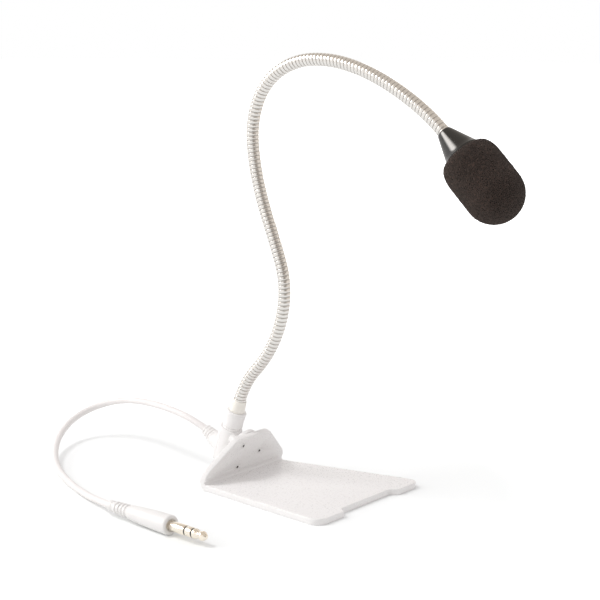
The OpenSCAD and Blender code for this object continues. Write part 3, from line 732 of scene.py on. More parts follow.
# The screws' cross recesses are darkened with painted shade.
SCREW_WHITE = Grooved("screw_finish", Slot.SCREW, (0.80, 0.785, 0.77), 0.35, grain_depth=0.002)
BRIGHT_STEEL = Finish("bright_steel", Slot.STEEL, (0.56, 0.56, 0.57), 0.32, metallic=1.0)
BOARD_GREEN = Finish("board_finish", Slot.BOARD, (0.03, 0.16, 0.07), 0.35, coat=0.5)
LEAD_GREY = Finish("lead_finish", Slot.LEAD, (0.06, 0.06, 0.065), 0.5)
INNER_BLACK = Finish("inner_black_finish", Slot.INNER, (0.02, 0.02, 0.02), 0.6)
WASHER_BLACK = Finish("washer_black", Slot.INNER, (0.012, 0.012, 0.012), 0.35)
GLOSS_BLACK = Finish(
    "gloss_black_finish", Slot.GLOSS, (0.003, 0.0025, 0.002), 0.17,
    grain_depth=0.001, dust=0.004, uneven=0.02, shine=0.75,
)
# The neck's grooves are darkened with grease and with painted shade of their own hollows.
NECK_NICKEL = Grooved(
    "neck_nickel_finish", Slot.NECK, (0.84, 0.82, 0.79), 0.20, metallic=1.0, grain_depth=0.001, dust=0.0,
    grime_and_shade=(0.10, 0.075, 0.055), grime_and_shade_share=0.9, grime_and_shade_from=0.3,
)
CONTACT_GOLD = Finish(
    "contact_gold_finish", Slot.CONTACT, (0.97, 0.90, 0.79), 0.20, metallic=1.0, grain_depth=0.001, dust=0.0
)
FOAM_CHARCOAL = OpenFoam(
    "foam_charcoal_finish", Slot.FOAM, (0.076, 0.050, 0.040), 0.95, grain_depth=0.5, shine=0.1
)


def dress(piece: Piece, finish: Finish, nodes: Iterable[str], body: Body | None = Body.STAND) -> Piece:
    """Gives a piece its finish and its body, and hides the frame nodes it stands for.

    Args:
        piece: The finished piece.
        finish: Finish of its surface.
        nodes: Frame nodes that it replaces.
        body: Body that it rides on, or None to leave it unattached.

    Returns:
        The same piece.
    """
    piece.data.materials.clear()
    piece.data.materials.append(finish.material())
    if body:
        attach(piece, body.value)
    if nodes:
        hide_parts(*nodes)
    LOG.info("%s: %s", piece.name, finish.name)
    return piece


def dress_node(node: str, finish: Finish) -> None:
    """Gives a frame node that stays in sight a better material."""
    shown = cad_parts[node]
    shown.data.materials.clear()
    shown.data.materials.append(finish.material())
    LOG.info("%s: %s", node, finish.name)


# ------------------------------------------------------------ the studio


@dataclass
class Studio:
    """Camera, lamps, floor and surroundings.

    Places and sizes are in metres, and bearings in radians from -Y towards +X.
    """

    camera_place: Triple = (-0.7797, -0.5913, 0.2887)
    azimuth: float = -52.564
    elevation: float = 9.297
    roll: float = 0.227
    lens: float = 91.68
    sensor: float = 36.0
    clip: Pair = (0.01, 200.0)
    floor_size: float = 60.0
    paper_colour: Triple = (0.90, 0.915, 0.91)
    paper_centre: Triple = (-0.03, 0.05, 0.0)
    paper_radius: float = 0.19
    paper_lift: float = 0.085
    paper_edge: Pair = (0.45, 0.80)
    ambient: float = 0.58
    ambient_tint: Triple = (1.0, 0.975, 0.98)
    ambient_sides: tuple[tuple[Triple, float], ...] = (((-0.75, 0.66, 0.0), 0.24), ((0.62, -0.76, 0.2), 0.26))
    side_white: Triple = (1.03, 1.01, 0.99)
    warm_white: Triple = (0.86, 0.80, 0.74)
    warm_rise: Pair = (-0.9, -0.4)
    warm_fall: Pair = (1.8, 2.4)
    dark_tone: Triple = (0.10, 0.07, 0.05)
    dark_share: float = 0.78
    dark_bearing: float = -0.62
    dark_reach: Pair = (0.15, 0.7)
    dark_rise: Pair = (-0.3, 0.0)
    ceiling_tone: Triple = (0.64, 0.58, 0.52)
    ceiling_rise: Pair = (0.35, 0.80)
    panel_way: Triple = (-0.45, 0.72, 0.53)
    panel_edge: Pair = (0.945, 0.992)
    panel_power: float = 1.5
    panel_glow: Triple = (10.5, 10.08, 9.66)
    lamps: tuple[tuple[str, Triple, Triple, Pair, float], ...] = (
        ("left_softbox", (-3.84, 4.60, 2.20), (0.0, 0.0, 0.1), (3.2, 4.8), 120.0),
        ("strip_light", (-2.31, 3.02, 5.69), (0.0, 0.0, 0.05), (2.4, 1.6), 150.0),
    )

    def make_camera(self) -> None:
        """Places the camera and makes it the scene's own."""
        deselect()
        bpy.ops.object.camera_add(location=self.camera_place)
        camera = name_piece("main_camera")
        around, up = math.radians(self.azimuth), math.radians(self.elevation)
        back = Vector((math.sin(around) * math.cos(up), -math.cos(around) * math.cos(up), math.sin(up)))
        level = (-back).to_track_quat("-Z", "Y").to_matrix()
        camera.rotation_euler = (level @ Matrix.Rotation(math.radians(self.roll), 3, "Z")).to_euler()
        camera.data.lens = self.lens
        camera.data.sensor_width = self.sensor
        camera.data.clip_start, camera.data.clip_end = self.clip
        bpy.context.scene.camera = camera
        bpy.context.scene.view_settings.view_transform = "Standard"

    @staticmethod
    def plainly_seen(graph: Graph, path: bpy.types.Node) -> Socket:
        """Returns whether the eye sees the surface, straight or through a clear one."""
        return graph.maths("MAXIMUM", path.outputs["Is Camera Ray"], path.outputs["Is Transmission Ray"])

    def make_floor(self) -> None:
        """Lays a floor that is white to the eye and still takes the shadow."""
        deselect()
        bpy.ops.mesh.primitive_plane_add(size=self.floor_size)
        floor = name_piece("studio_floor")
        material = bpy.data.materials.new("floor_paper")
        graph = Graph.of(material)
        paper = graph.add("BsdfDiffuse", {"Color": (*self.paper_colour, 1)})
        path = graph.add("LightPath")
        place = graph.add("TexCoord").outputs["Object"]
        away = graph.vector("DISTANCE", {0: place, 1: self.paper_centre})["Value"]
        lift = graph.span(away, self.paper_radius, self.paper_radius * 3, self.paper_lift, 1.0)
        strength = graph.maths("MULTIPLY", self.plainly_seen(graph, path), lift)
        glow = graph.add("Emission", {"Color": (1, 1, 1, 1), "Strength": strength})
        both = graph.add("AddShader", {0: paper.outputs[0], 1: glow.outputs[0]})
        past = graph.maths("MULTIPLY", path.outputs["Is Glossy Ray"], graph.span(away, *self.paper_edge))
        open_air = graph.add("BsdfTransparent")
        shown = graph.add("MixShader", {0: past, 1: both.outputs[0], 2: open_air.outputs[0]})
        graph.add("OutputMaterial", {"Surface": shown.outputs[0]})
        floor.data.materials.append(material)

    def gloss_view(self, graph: Graph, around: Socket) -> Socket:
        """Returns the colour of the surroundings that gloss mirrors.

        Args:
            graph: Graph of the world.
            around: Direction that is looked in.
        """
        parts = graph.add("SeparateXYZ", {0: around}).outputs
        bearing = graph.maths("ARCTAN2", parts["X"], graph.maths("MULTIPLY", parts["Y"], -1))
        off_dark = graph.maths("ABSOLUTE", graph.maths("SUBTRACT", bearing, self.dark_bearing))
        dark = graph.maths(
            "MULTIPLY", graph.span(off_dark, *self.dark_reach, 1, 0), graph.span(parts["Z"], *self.dark_rise)
        )
        warm = graph.maths(
            "MULTIPLY", graph.span(bearing, *self.warm_rise), graph.span(bearing, *self.warm_fall, 1, 0)
        )
        sides = graph.blend(warm, self.side_white, self.warm_white)
        sides = graph.blend(graph.maths("MULTIPLY", dark, self.dark_share), sides, self.dark_tone)
        ceiling = graph.blend(graph.span(parts["Z"], *self.ceiling_rise), sides, self.ceiling_tone)
        facing = graph.vector("DOT_PRODUCT", {0: around, 1: self.panel_way})["Value"]
        panel = graph.maths("POWER", graph.span(facing, *self.panel_edge), self.panel_power)
        glow = graph.vector("SCALE", {0: self.panel_glow, "Scale": panel})[0]
        return graph.vector("ADD", {0: ceiling, 1: glow})[0]

    def make_world(self) -> None:
        """Surrounds the set with soft light, white to the eye and toned to gloss."""
        world = bpy.data.worlds.new("studio_world")
        bpy.context.scene.world = world
        graph = Graph.of(world)
        path = graph.add("LightPath")
        around = graph.add("TexCoord").outputs["Generated"]
        soft = self.ambient
        for way, share in self.ambient_sides:
            facing = graph.vector("DOT_PRODUCT", {0: around, 1: way})["Value"]
            soft = graph.maths("ADD", graph.maths("MULTIPLY", graph.maths("MAXIMUM", facing), share), soft)
        ambient = graph.add("Background", {"Color": (*self.ambient_tint, 1), "Strength": soft})
        mirrored = graph.add("Background", {"Color": self.gloss_view(graph, around)})
        white = graph.add("Background", {"Color": (1, 1, 1, 1)})
        glossy = path.outputs["Is Glossy Ray"]
        first = graph.add("MixShader", {0: glossy, 1: ambient.outputs[0], 2: mirrored.outputs[0]})
        seen = self.plainly_seen(graph, path)
        last = graph.add("MixShader", {0: seen, 1: first.outputs[0], 2: white.outputs[0]})
        graph.add("OutputWorld", {"Surface": last.outputs[0]})

    def make_lamps(self) -> None:
        """Hangs the soft boxes, which gloss sees as part of the surroundings."""
        for name, place, aim, size, power in self.lamps:
            deselect()
            bpy.ops.object.light_add(type="AREA", location=place)
            lamp = name_piece(name)
            lamp.data.shape = "RECTANGLE"
            lamp.data.size, lamp.data.size_y = size
            lamp.data.energy = power
            lamp.visible_glossy = False
            lamp.rotation_euler = (Vector(aim) - Vector(place)).to_track_quat("-Z", "Y").to_euler()


# -------------------------------------------------------- cord and its plug


@dataclass
class CordAndPlug:
    """The free cord, and the three-contact plug on its end."""

    cord_d: float = 4.6
    cord_length: float = 393.0
    port_reach: float = 12.8
    board_face: float = -3.4
    relief_len: float = 8.4
    handle_d: float = 12.4
    handle_rear_d: float = 9.0
    handle_len: float = 38.5
    swell_len: float = 35.6
    boot_len: float = 20.0
    boot_d: float = 8.4
    boot_end_d: float = 7.0
    boot_lip: float = 3.8
    boot_tail: float = 6.0
    boot_ribs: int = 4
    rib_pitch: float = 3.2
    rib_share: float = 0.6
    groove: float = 0.6
    cord_in_boot: float = 14.0
    jack_d: float = 6.35
    sleeve_len: float = 14.1
    washer_w: float = 1.1
    washer_sunk: float = 0.18
    ring_len: float = 5.0
    tip_len: float = 10.7
    easing: tuple[float, ...] = (0.5, -0.53) * 6
    route: tuple[Triple, ...] = (
        (0, 48, 34), (1, 58, 36), (3, 70, 37), (7, 84, 37), (13, 99, 35), (19, 117, 33),
        (23, 133, 31), (24, 147, 27), (21, 158, 24), (14, 164, 20), (6, 166, 17),
        (-6, 163, 14), (-21, 156, 11), (-35, 145, 8), (-50, 132, 5.5), (-63, 117, 3.8),
        (-74, 101, 2.9), (-86, 82, 2.6), (-95, 63, 2.6), (-103, 45, 2.8), (-110, 27, 4.2),
    )

    def eased_route(self) -> list[Vector]:
        """Returns the route with its small kinks relaxed, and its length kept."""
        points = [Vector(point) for point in self.route]
        last = len(points) - 1
        for share in self.easing:
            eased = list(points)
            for here in range(1, last):
                before, point, after = points[here - 1 : here + 2]
                into, out = (point - before).length, (after - point).length
                middle = (before * out + after * into) / (into + out)
                eased[here] = point.lerp(middle, share / 2 if here in (1, last - 1) else share)
            points = eased
        return points

    def path(self) -> list[Vector]:
        """Returns the points that the cord passes, in metres."""
        port, plug = LAYOUT.port(), LAYOUT.plug()
        rear = self.handle_len + self.boot_len
        inside = [self.board_face + 1, self.port_reach, self.port_reach + self.relief_len]
        return (
            [port @ Vector((0, 0, d * MM)) for d in inside]
            + [(point + Vector((0, LAYOUT.crease_y, 0))) * MM for point in self.eased_route()]
            + [plug @ Vector((0, 0, -d * MM)) for d in (rear, rear - self.cord_in_boot)]
        )

    def make_cord(self) -> Piece:
        """Draws the cord as one smooth curve, and returns it."""
        deselect()
        bpy.ops.curve.primitive_bezier_curve_add(radius=MM)
        cord = name_piece("lead_cord")
        path = self.path()
        knots = cord.data.splines[0].bezier_points
        knots.add(len(path) - len(knots))
        for knot, before, here, after in zip(knots, path[:1] + path, path, path[1:] + path[-1:]):
            knot.handle_left_type = knot.handle_right_type = "FREE"
            knot.co = here
            knot.handle_left = here - (after - before) / 6
            knot.handle_right = here + (after - before) / 6
        cord.data.dimensions = "3D"
        cord.data.resolution_u = 8
        cord.data.bevel_depth = self.cord_d / 2 * MM
        cord.data.bevel_resolution = 5
        cord.data.use_fill_caps = True
        return dress(cord, CORD_WHITE, ["cord"])

    def boot_profile(self) -> Profile:
        """Returns the boot's outline, ribbed where it bends."""
        front, rear = -self.handle_len, -self.handle_len - self.boot_len
        bore, lip = self.cord_d / 2 + 0.05, self.boot_end_d / 2
        core = lip - self.groove
        core_front = self.boot_d / 2 - self.groove
        slope = (core_front - core) / self.boot_len
        outline = [(bore, rear), (lip - 0.25, rear), (lip, rear + 0.4)]
        outline += [(lip, rear + self.boot_lip), (lip - 0.35, rear + self.boot_lip + 0.3)]
        for rib in reversed(range(self.boot_ribs)):
            start = front - 0.5 - (rib + 1) * self.rib_pitch
            end = start + self.rib_pitch * self.rib_share
            top = self.boot_d / 2 - 0.1 * rib
            outline += [
                (core + slope * (start - rear), start), (top - 0.2, start + 0.1), (top, start + 0.3),
                (top, end - 0.3), (top - 0.2, end - 0.1), (core + slope * (end - rear), end),
            ]
        tail = front - self.boot_tail
        outline += [(core_front, front), (0, front), (0, tail), (bore, tail)]
        return outline + outline[:1]

    def handle_profile(self) -> Profile:
        """Returns the handle's outline, which swells towards the contacts."""
        start, rear, full, jack = -self.handle_len, self.handle_rear_d / 2, self.handle_d / 2, self.jack_d / 2
        swell = [
            (rear + (full - rear) * sine, start + 0.7 + self.swell_len * step / 12)
            for step, (sine, _) in enumerate(quarter(12))
        ]
        return [
            (0, start), (rear - 0.6, start), *swell, (full, -1.0), (full - 0.25, -0.4),
            (full - 0.7, 0), (jack + 0.8, 0), (jack + 0.8, -1), (0, -1),
        ]

    def contact_profiles(self) -> dict[str, Profile]:
        """Returns the outlines of the contacts and of the washers between them."""
        r, sleeve = self.jack_d / 2, self.sleeve_len
        ring = sleeve + self.washer_w
        second = ring + self.ring_len
        tip = second + self.washer_w
        waist, bulb, end = (tip + self.tip_len * share for share in (0.44, 0.66, 1.0))

        def disc(radius: float, low: float, high: float) -> Profile:
            """Returns the outline of a plain disc."""
            return [(0, low), (radius, low), (radius, high), (0, high)]

        return {
            "plug_sleeve": disc(r, -1, sleeve),
            "plug_rear_washer": disc(r - self.washer_sunk, sleeve, ring),
            "plug_ring": disc(r, ring, second),
            "plug_front_washer": disc(r - self.washer_sunk, second, tip),
            "plug_tip": [
                (0, tip), (r - 0.1, tip), (r, tip + 0.2), (r, tip + 1.4), (r * 0.86, tip + 2.7),
                (r * 0.74, waist - 0.6), (r * 0.72, waist), (r * 0.76, waist + 0.7), (r * 0.88, bulb - 0.9),
                (r * 0.94, bulb), (r * 0.90, bulb + 0.8), (r * 0.66, end - 1.6), (r * 0.44, end - 0.6),
                (r * 0.26, end - 0.12), (0, end),
            ],
        }

    def build(self) -> None:
        """Makes the cord first, then the pieces on its end."""
        cord = self.make_cord()
        plug = LAYOUT.plug()
        boot = turned("boot_sleeve", self.boot_profile(), plug, 48)
        handle = turned("handle_shell", self.handle_profile(), plug, 72, 0.2)
        pieces = [dress(boot, HANDLE_WHITE, ["plug_boot"]), dress(handle, HANDLE_WHITE, ["plug_handle"])]
        for node, outline in self.contact_profiles().items():
            contact = turned(node.replace("plug", "contact"), outline, plug, 56, 0.1)
            finish = WASHER_BLACK if "washer" in node else CONTACT_GOLD
            pieces.append(dress(contact, finish, [node]))
        tuple(self.path()[0])


# ------------------------------------------------------------- the stand


@dataclass
class BentPlate:
    """The white plate, bent up into its wall, and the three wall screws."""

    thickness: float = 4.2
    rear_w: float = 83.0
    front_w: float = 115.0
    length: float = 107.0
    corner_r: float = 8.0
    notch_depth: float = 5.0
    notch_w: float = 54.0
    notch_slant: float = 4.0
    notch_r: float = 1.5
    taper_end: float = 3.0
    wall_h: float = 28.8
    wall_top_w: float = 34.0
    wall_side_h: float = 7.0
    wall_top_r: float = 7.0
    wall_side_r: float = 9.0
    bend_r: float = 1.5
    edge: float = 0.5
    corner_steps: int = 10
    bend_steps: int = 12
    ridge_at: float = 2.2
    ridge_h: float = 0.2
    ridge_w: float = 0.5
    ridge_steps: int = 8
    seat_gap: float = 0.12
    screw_places: tuple[Pair, ...] = ((-9.0, 22.4), (-9.0, 6.0), (11.2, 14.2))
    screw_turns: Triple = (23.0, 64.0, 105.0)
    screw_head_d: float = 4.4
    screw_head_h: float = 1.4
    screw_d: float = 2.6
    screw_len: float = 10.0
    thread_pitch: float = 0.9
    thread_depth: float = 0.35
    thread_turns: int = 8
    recess: Triple = (2.7, 0.95, 2.4)
    recess_taper: float = 0.45
    recess_r: float = 1.35
    recess_span: Pair = (0.1, 1.5)

    @property
    def turn(self) -> float:
        """Angle of the bend in radians."""
        return math.radians(90 + LAYOUT.wall_lean)

    @property
    def tangent(self) -> float:
        """Distance from the crease to where the bend starts on each side."""
        return self.bend_r * math.tan(self.turn / 2)

    @property
    def arc(self) -> float:
        """Length of the bend's upper face."""
        return self.bend_r * self.turn

    def outline(self) -> list[Triple]:
        """Returns the unfolded sheet's corners as x, way along the sheet and radius.

        The way along the sheet is 0 where the bend starts.
        """
        front, rise = self.tangent - self.length, self.arc - self.tangent
        half_front, half_rear = self.front_w / 2, self.rear_w / 2
        mouth, floor = self.notch_w / 2 + self.notch_slant, self.notch_w / 2
        right = [
            (floor, front + self.notch_depth, self.notch_r), (mouth, front, self.notch_r),
            (half_front, front, self.corner_r), (half_rear, self.tangent - self.taper_end, 0.0),
            (half_rear, rise + self.wall_side_h, self.wall_side_r),
            (self.wall_top_w / 2, rise + self.wall_h, self.wall_top_r),
        ]
        return right + [(-x, along, radius) for x, along, radius in reversed(right)]

    def rounded_outline(self) -> list[Vector]:
        """Returns the outline's points with its corners rounded, closed."""
        corners = self.outline()
        points: list[Vector] = []
        for index, (x, along, radius) in enumerate(corners):
            here = Vector((x, along, 0))
            if not radius:
                points.append(here)
                continue
            near = (Vector((*corners[(index + step) % len(corners)][:2], 0)) for step in (-1, 1))
            back, ahead = ((corner - here).normalized() for corner in near)
            half = back.angle(ahead) / 2
            inward = (back + ahead).normalized()
            centre = here + inward * (radius / math.sin(half))
            swing = math.copysign(math.pi / 2 - half, -back.cross(ahead).z)
            for step in range(self.corner_steps + 1):
                angle = swing * (2 * step / self.corner_steps - 1)
                points.append(centre + Matrix.Rotation(angle, 3, "Z") @ (-inward * radius))
        return [point * MM for point in points + points[:1]]

    def bent(self, point: Vector) -> Vector:
        """Carries a point of the flat sheet round the bend.

        Args:
            point: x, way along the sheet, and height over its upper face, in metres.

        Returns:
            Its place on the bent plate.
        """
        x, along, depth = point
        arc = self.arc * MM
        centre = Vector((0, (LAYOUT.crease_y - self.tangent) * MM, (self.thickness + self.bend_r) * MM))
        angle = min(max(along / (self.bend_r * MM), 0), self.turn)
        outward = Vector((0, math.sin(angle), -math.cos(angle)))
        onward = Vector((0, math.cos(angle), math.sin(angle)))
        run = min(along, 0) + max(along - arc, 0)
        if depth > -self.edge * MM:
            depth += self.ridge_h * MM * math.exp(-(((along - arc) / MM - self.ridge_at) / self.ridge_w) ** 2)
        return Vector((x, 0, 0)) + centre + outward * (self.bend_r * MM - depth) + onward * run

    def seat(self, x: float, height: float) -> Matrix:
        """Returns a screw's frame: Z into the wall from its front face."""
        return LAYOUT.wall() @ shift(x, 0, height) @ turn_x(-90)

    def make_plate(self) -> None:
        """Cuts the sheet out, rounds its edges and bends it."""
        plate = draw_wire("bent_plate", self.rounded_outline())
        bpy.ops.mesh.select_all(action="SELECT")
        bpy.ops.mesh.remove_doubles(threshold=WELD)
        bpy.ops.mesh.select_all(action="SELECT")
        bpy.ops.mesh.edge_face_add()
        bpy.ops.mesh.extrude_region_move(TRANSFORM_OT_translate={"value": (0, 0, -self.thickness * MM)})
        close_mesh()
        soften_edges(plate, self.edge, 3, 40)
        bpy.ops.object.mode_set(mode="EDIT")
        cuts = [self.arc * step / self.bend_steps for step in range(self.bend_steps + 1)]
        middle, ridge_end = self.ridge_steps / 2, self.arc + self.ridge_at
        cuts += [ridge_end + self.ridge_w * (step - middle) / 2 for step in range(self.ridge_steps + 1)]
        for along in cuts:
            bpy.ops.mesh.select_all(action="SELECT")
            bpy.ops.mesh.bisect(plane_co=(0, along * MM, 0), plane_no=(0, 1, 0))
        bpy.ops.object.mode_set(mode="OBJECT")
        move_vertices(plate, self.bent)
        r, shank = self.screw_head_d / 2 + self.seat_gap, self.screw_d / 2 + 0.15
        rim, through = r + 0.25, self.thickness + 1
        outline = [
            (0, -1), (rim, -1), (rim, -0.01), (r, 0.12),
            (shank, self.screw_head_h), (shank, through), (0, through),
        ]
        for place in self.screw_places:
            subtract(plate, lathe("seat_cutter", outline, self.seat(*place), 32))
        smooth(plate)
        dress(plate, PLATE_WHITE, ["base_plate"])

    def screw_pattern(self) -> Piece:
        """Turns one countersunk screw and cuts its cross recess.

        Returns:
            The screw, its head's face at height 0 and its recess marked as a valley.
        """
        r, shank, head = self.screw_head_d / 2, self.screw_d / 2, self.screw_head_h
        thread = [
            (shank - self.thread_depth * (step % 2), head + 0.3 + self.thread_pitch / 2 * step)
            for step in range(2 * self.thread_turns)
        ]
        outline = [
            (0, 0.02), (r - 0.25, 0.0), (r, 0.14), (r - 0.05, 0.25), (shank, head),
            *thread, (0.3, self.screw_len), (0, self.screw_len),
        ]
        pattern = lathe("screw_pattern", outline, Matrix.Identity(4), 32)
        for turn in (0, 90):
            deselect()
            bpy.ops.mesh.primitive_cube_add(size=1)
            blade = name_piece("recess_blade")
            bpy.ops.object.mode_set(mode="EDIT")
            bpy.ops.transform.resize(value=Vector(self.recess) * MM)
            bpy.ops.object.mode_set(mode="OBJECT")
            for vertex in blade.data.vertices:
                if vertex.co.z > 0:
                    vertex.co.x *= self.recess_taper
                vertex.co = turn_z(turn) @ vertex.co
            subtract(pattern, blade)
        smooth(pattern)
        # Marks the recess as a valley, where the screw's finish paints shade.
        mark = pattern.data.attributes.new("valley", "FLOAT", "FACE")
        low, high = self.recess_span
        for face, value in zip(pattern.data.polygons, mark.data):
            deep, wide = face.center.z / MM, face.center.xy.length / MM
            value.value = float(low < deep < high and wide < self.recess_r)
        return pattern

    def make_screws(self) -> None:
        """Copies the screw into its three seats, each turned differently."""
        pattern = self.screw_pattern()
        screws = []
        for number, (spot, turn) in enumerate(zip(self.screw_places, self.screw_turns)):
            place = self.seat(*spot) @ turn_z(turn)
            screw = copy_piece(pattern, f"wall_screw_{number}")
            move_vertices(screw, lambda co, place=place: place @ co)
            screws.append(screw)
        discard(pattern)
        piece = join(screws, "countersunk_screws")
        smooth(piece)
        dress(piece, SCREW_WHITE, ["wall_screws"])

    def build(self) -> None:
        """Makes the plate and its screws."""
        self.make_plate()
        self.make_screws()


@dataclass
class Housing:
    """The two moulded shells, the collar, the ferrule and the strain relief."""

    voxel: float = 0.34
    stud_d: float = 7.0
    collar_d: float = 13.8
    ferrule_d: float = 10.8
    ferrule_top_d: float = 9.4
    bore: float = 2.6
    neck_seat: float = 3.96
    neck_mouth: float = 4.28
    port_reach: float = 12.8
    relief_len: float = 8.4
    relief_d: float = 9.8
    relief_end_d: float = 7.6
    relief_ribs: int = 3
    rib_share: float = 0.62
    relief_neck_r: float = 3.6
    relief_flange: float = 0.5
    cord_bore: float = 2.35

    def make_shell(self, node: str, name: str) -> None:
        """Softens a moulded shell, so that its edges and corners are filleted.

        Args:
            node: Frame node that the shell is made over.
            name: Name of the piece.
        """
        shell = copy_node(node, name)
        add_modifier(shell, "REMESH", mode="VOXEL", voxel_size=self.voxel * MM, adaptivity=0.0)
        add_modifier(shell, "SMOOTH", factor=0.5, iterations=4)
        smooth(shell, 50)
        dress(shell, MOULDED_WHITE, [node])

    def collar_profile(self) -> Profile:
        """Returns the outline of the collar, with its two grooves."""
        r, low, high = self.collar_d / 2, LAYOUT.body_top, LAYOUT.collar_top
        bore = self.stud_d / 2 + 0.05
        outline = [
            (bore, low), (r - 0.3, low), (r - 0.3, low + 1.2), (r - 0.8, low + 1.4), (r - 0.8, low + 2.0),
            (r, low + 2.2), (r, low + 3.2), (r - 0.15, low + 3.4), (r - 0.15, high - 2.2),
            (r + 0.15, high - 1.8), (r + 0.15, high - 0.6), (r - 0.1, high - 0.15), (r - 0.45, high),
            (bore, high),
        ]
        return outline + outline[:1]

    def ferrule_profile(self) -> Profile:
        """Returns the outline of the ferrule, open for the neck."""
        foot, top = LAYOUT.collar_top, LAYOUT.neck_root
        base_r, top_r, stud_r = self.ferrule_d / 2, self.ferrule_top_d / 2, self.stud_d / 2
        bore, seat, mouth = self.bore, self.neck_seat, self.neck_mouth
        outline = [
            (bore, foot - 7), (stud_r, foot - 7), (stud_r, foot), (base_r - 0.3, foot), (base_r, foot + 0.4),
            (base_r, foot + 1.2), (base_r - 0.12, foot + 1.5), (top_r + 0.25, top - 1.2), (top_r, top - 0.4),
            (top_r - 0.15, top), (mouth, top), (mouth - 0.06, top - 0.5),
            (seat, top - 0.7), (seat, top - 5), (bore, top - 5),
        ]
        return outline + outline[:1]

    def relief_profile(self) -> Profile:
        """Returns the outline of the ribbed strain relief."""
        start, end = self.port_reach, self.port_reach + self.relief_len
        pitch = self.relief_len / (self.relief_ribs + 0.6)
        first, last = self.relief_d / 2, self.relief_end_d / 2
        neck, flange = self.relief_neck_r, self.relief_neck_r + self.relief_flange
        outline = [
            (self.cord_bore, start - 3.2), (flange, start - 3.2), (flange, start - 1.6),
            (neck, start - 1.6), (neck, start),
        ]
        for rib in range(self.relief_ribs):
            r, low = first + (last - first) * rib / self.relief_ribs, start + rib * pitch
            high = low + pitch * self.rib_share
            outline += [
                (r - 0.25, low), (r, low + 0.25), (r, high - 0.25), (r - 0.25, high),
                (r - 0.95, high + 0.05), (r - 1.0, low + pitch - 0.05),
            ]
        low = end - pitch * 0.5
        outline += [(last - 0.25, low), (last, low + 0.25), (last, end - 0.35), (last - 0.35, end)]
        outline.append((self.cord_bore, end))
        return outline + outline[:1]

    def build(self) -> None:
        """Makes the shells and what is turned."""
        self.make_shell("front_shell", "housing_front")
        self.make_shell("rear_shell", "housing_rear")
        axis = LAYOUT.axis()
        for name, outline, place, steps, finish, node in (
            ("collar_ring", self.collar_profile(), axis, 72, MOULDED_WHITE, "neck_collar"),
            ("ferrule_sleeve", self.ferrule_profile(), axis, 72, FERRULE_CREAM, "neck_ferrule"),
            ("relief_sleeve", self.relief_profile(), LAYOUT.port(), 48, RELIEF_WHITE, "cord_relief"),
        ):
            dress(turned(name, outline, place, steps), finish, [node])
        dress_node("terminal_board", BOARD_GREEN)
        dress_node("clamp_nut", BRIGHT_STEEL)


# ------------------------------------------------------------ the gooseneck


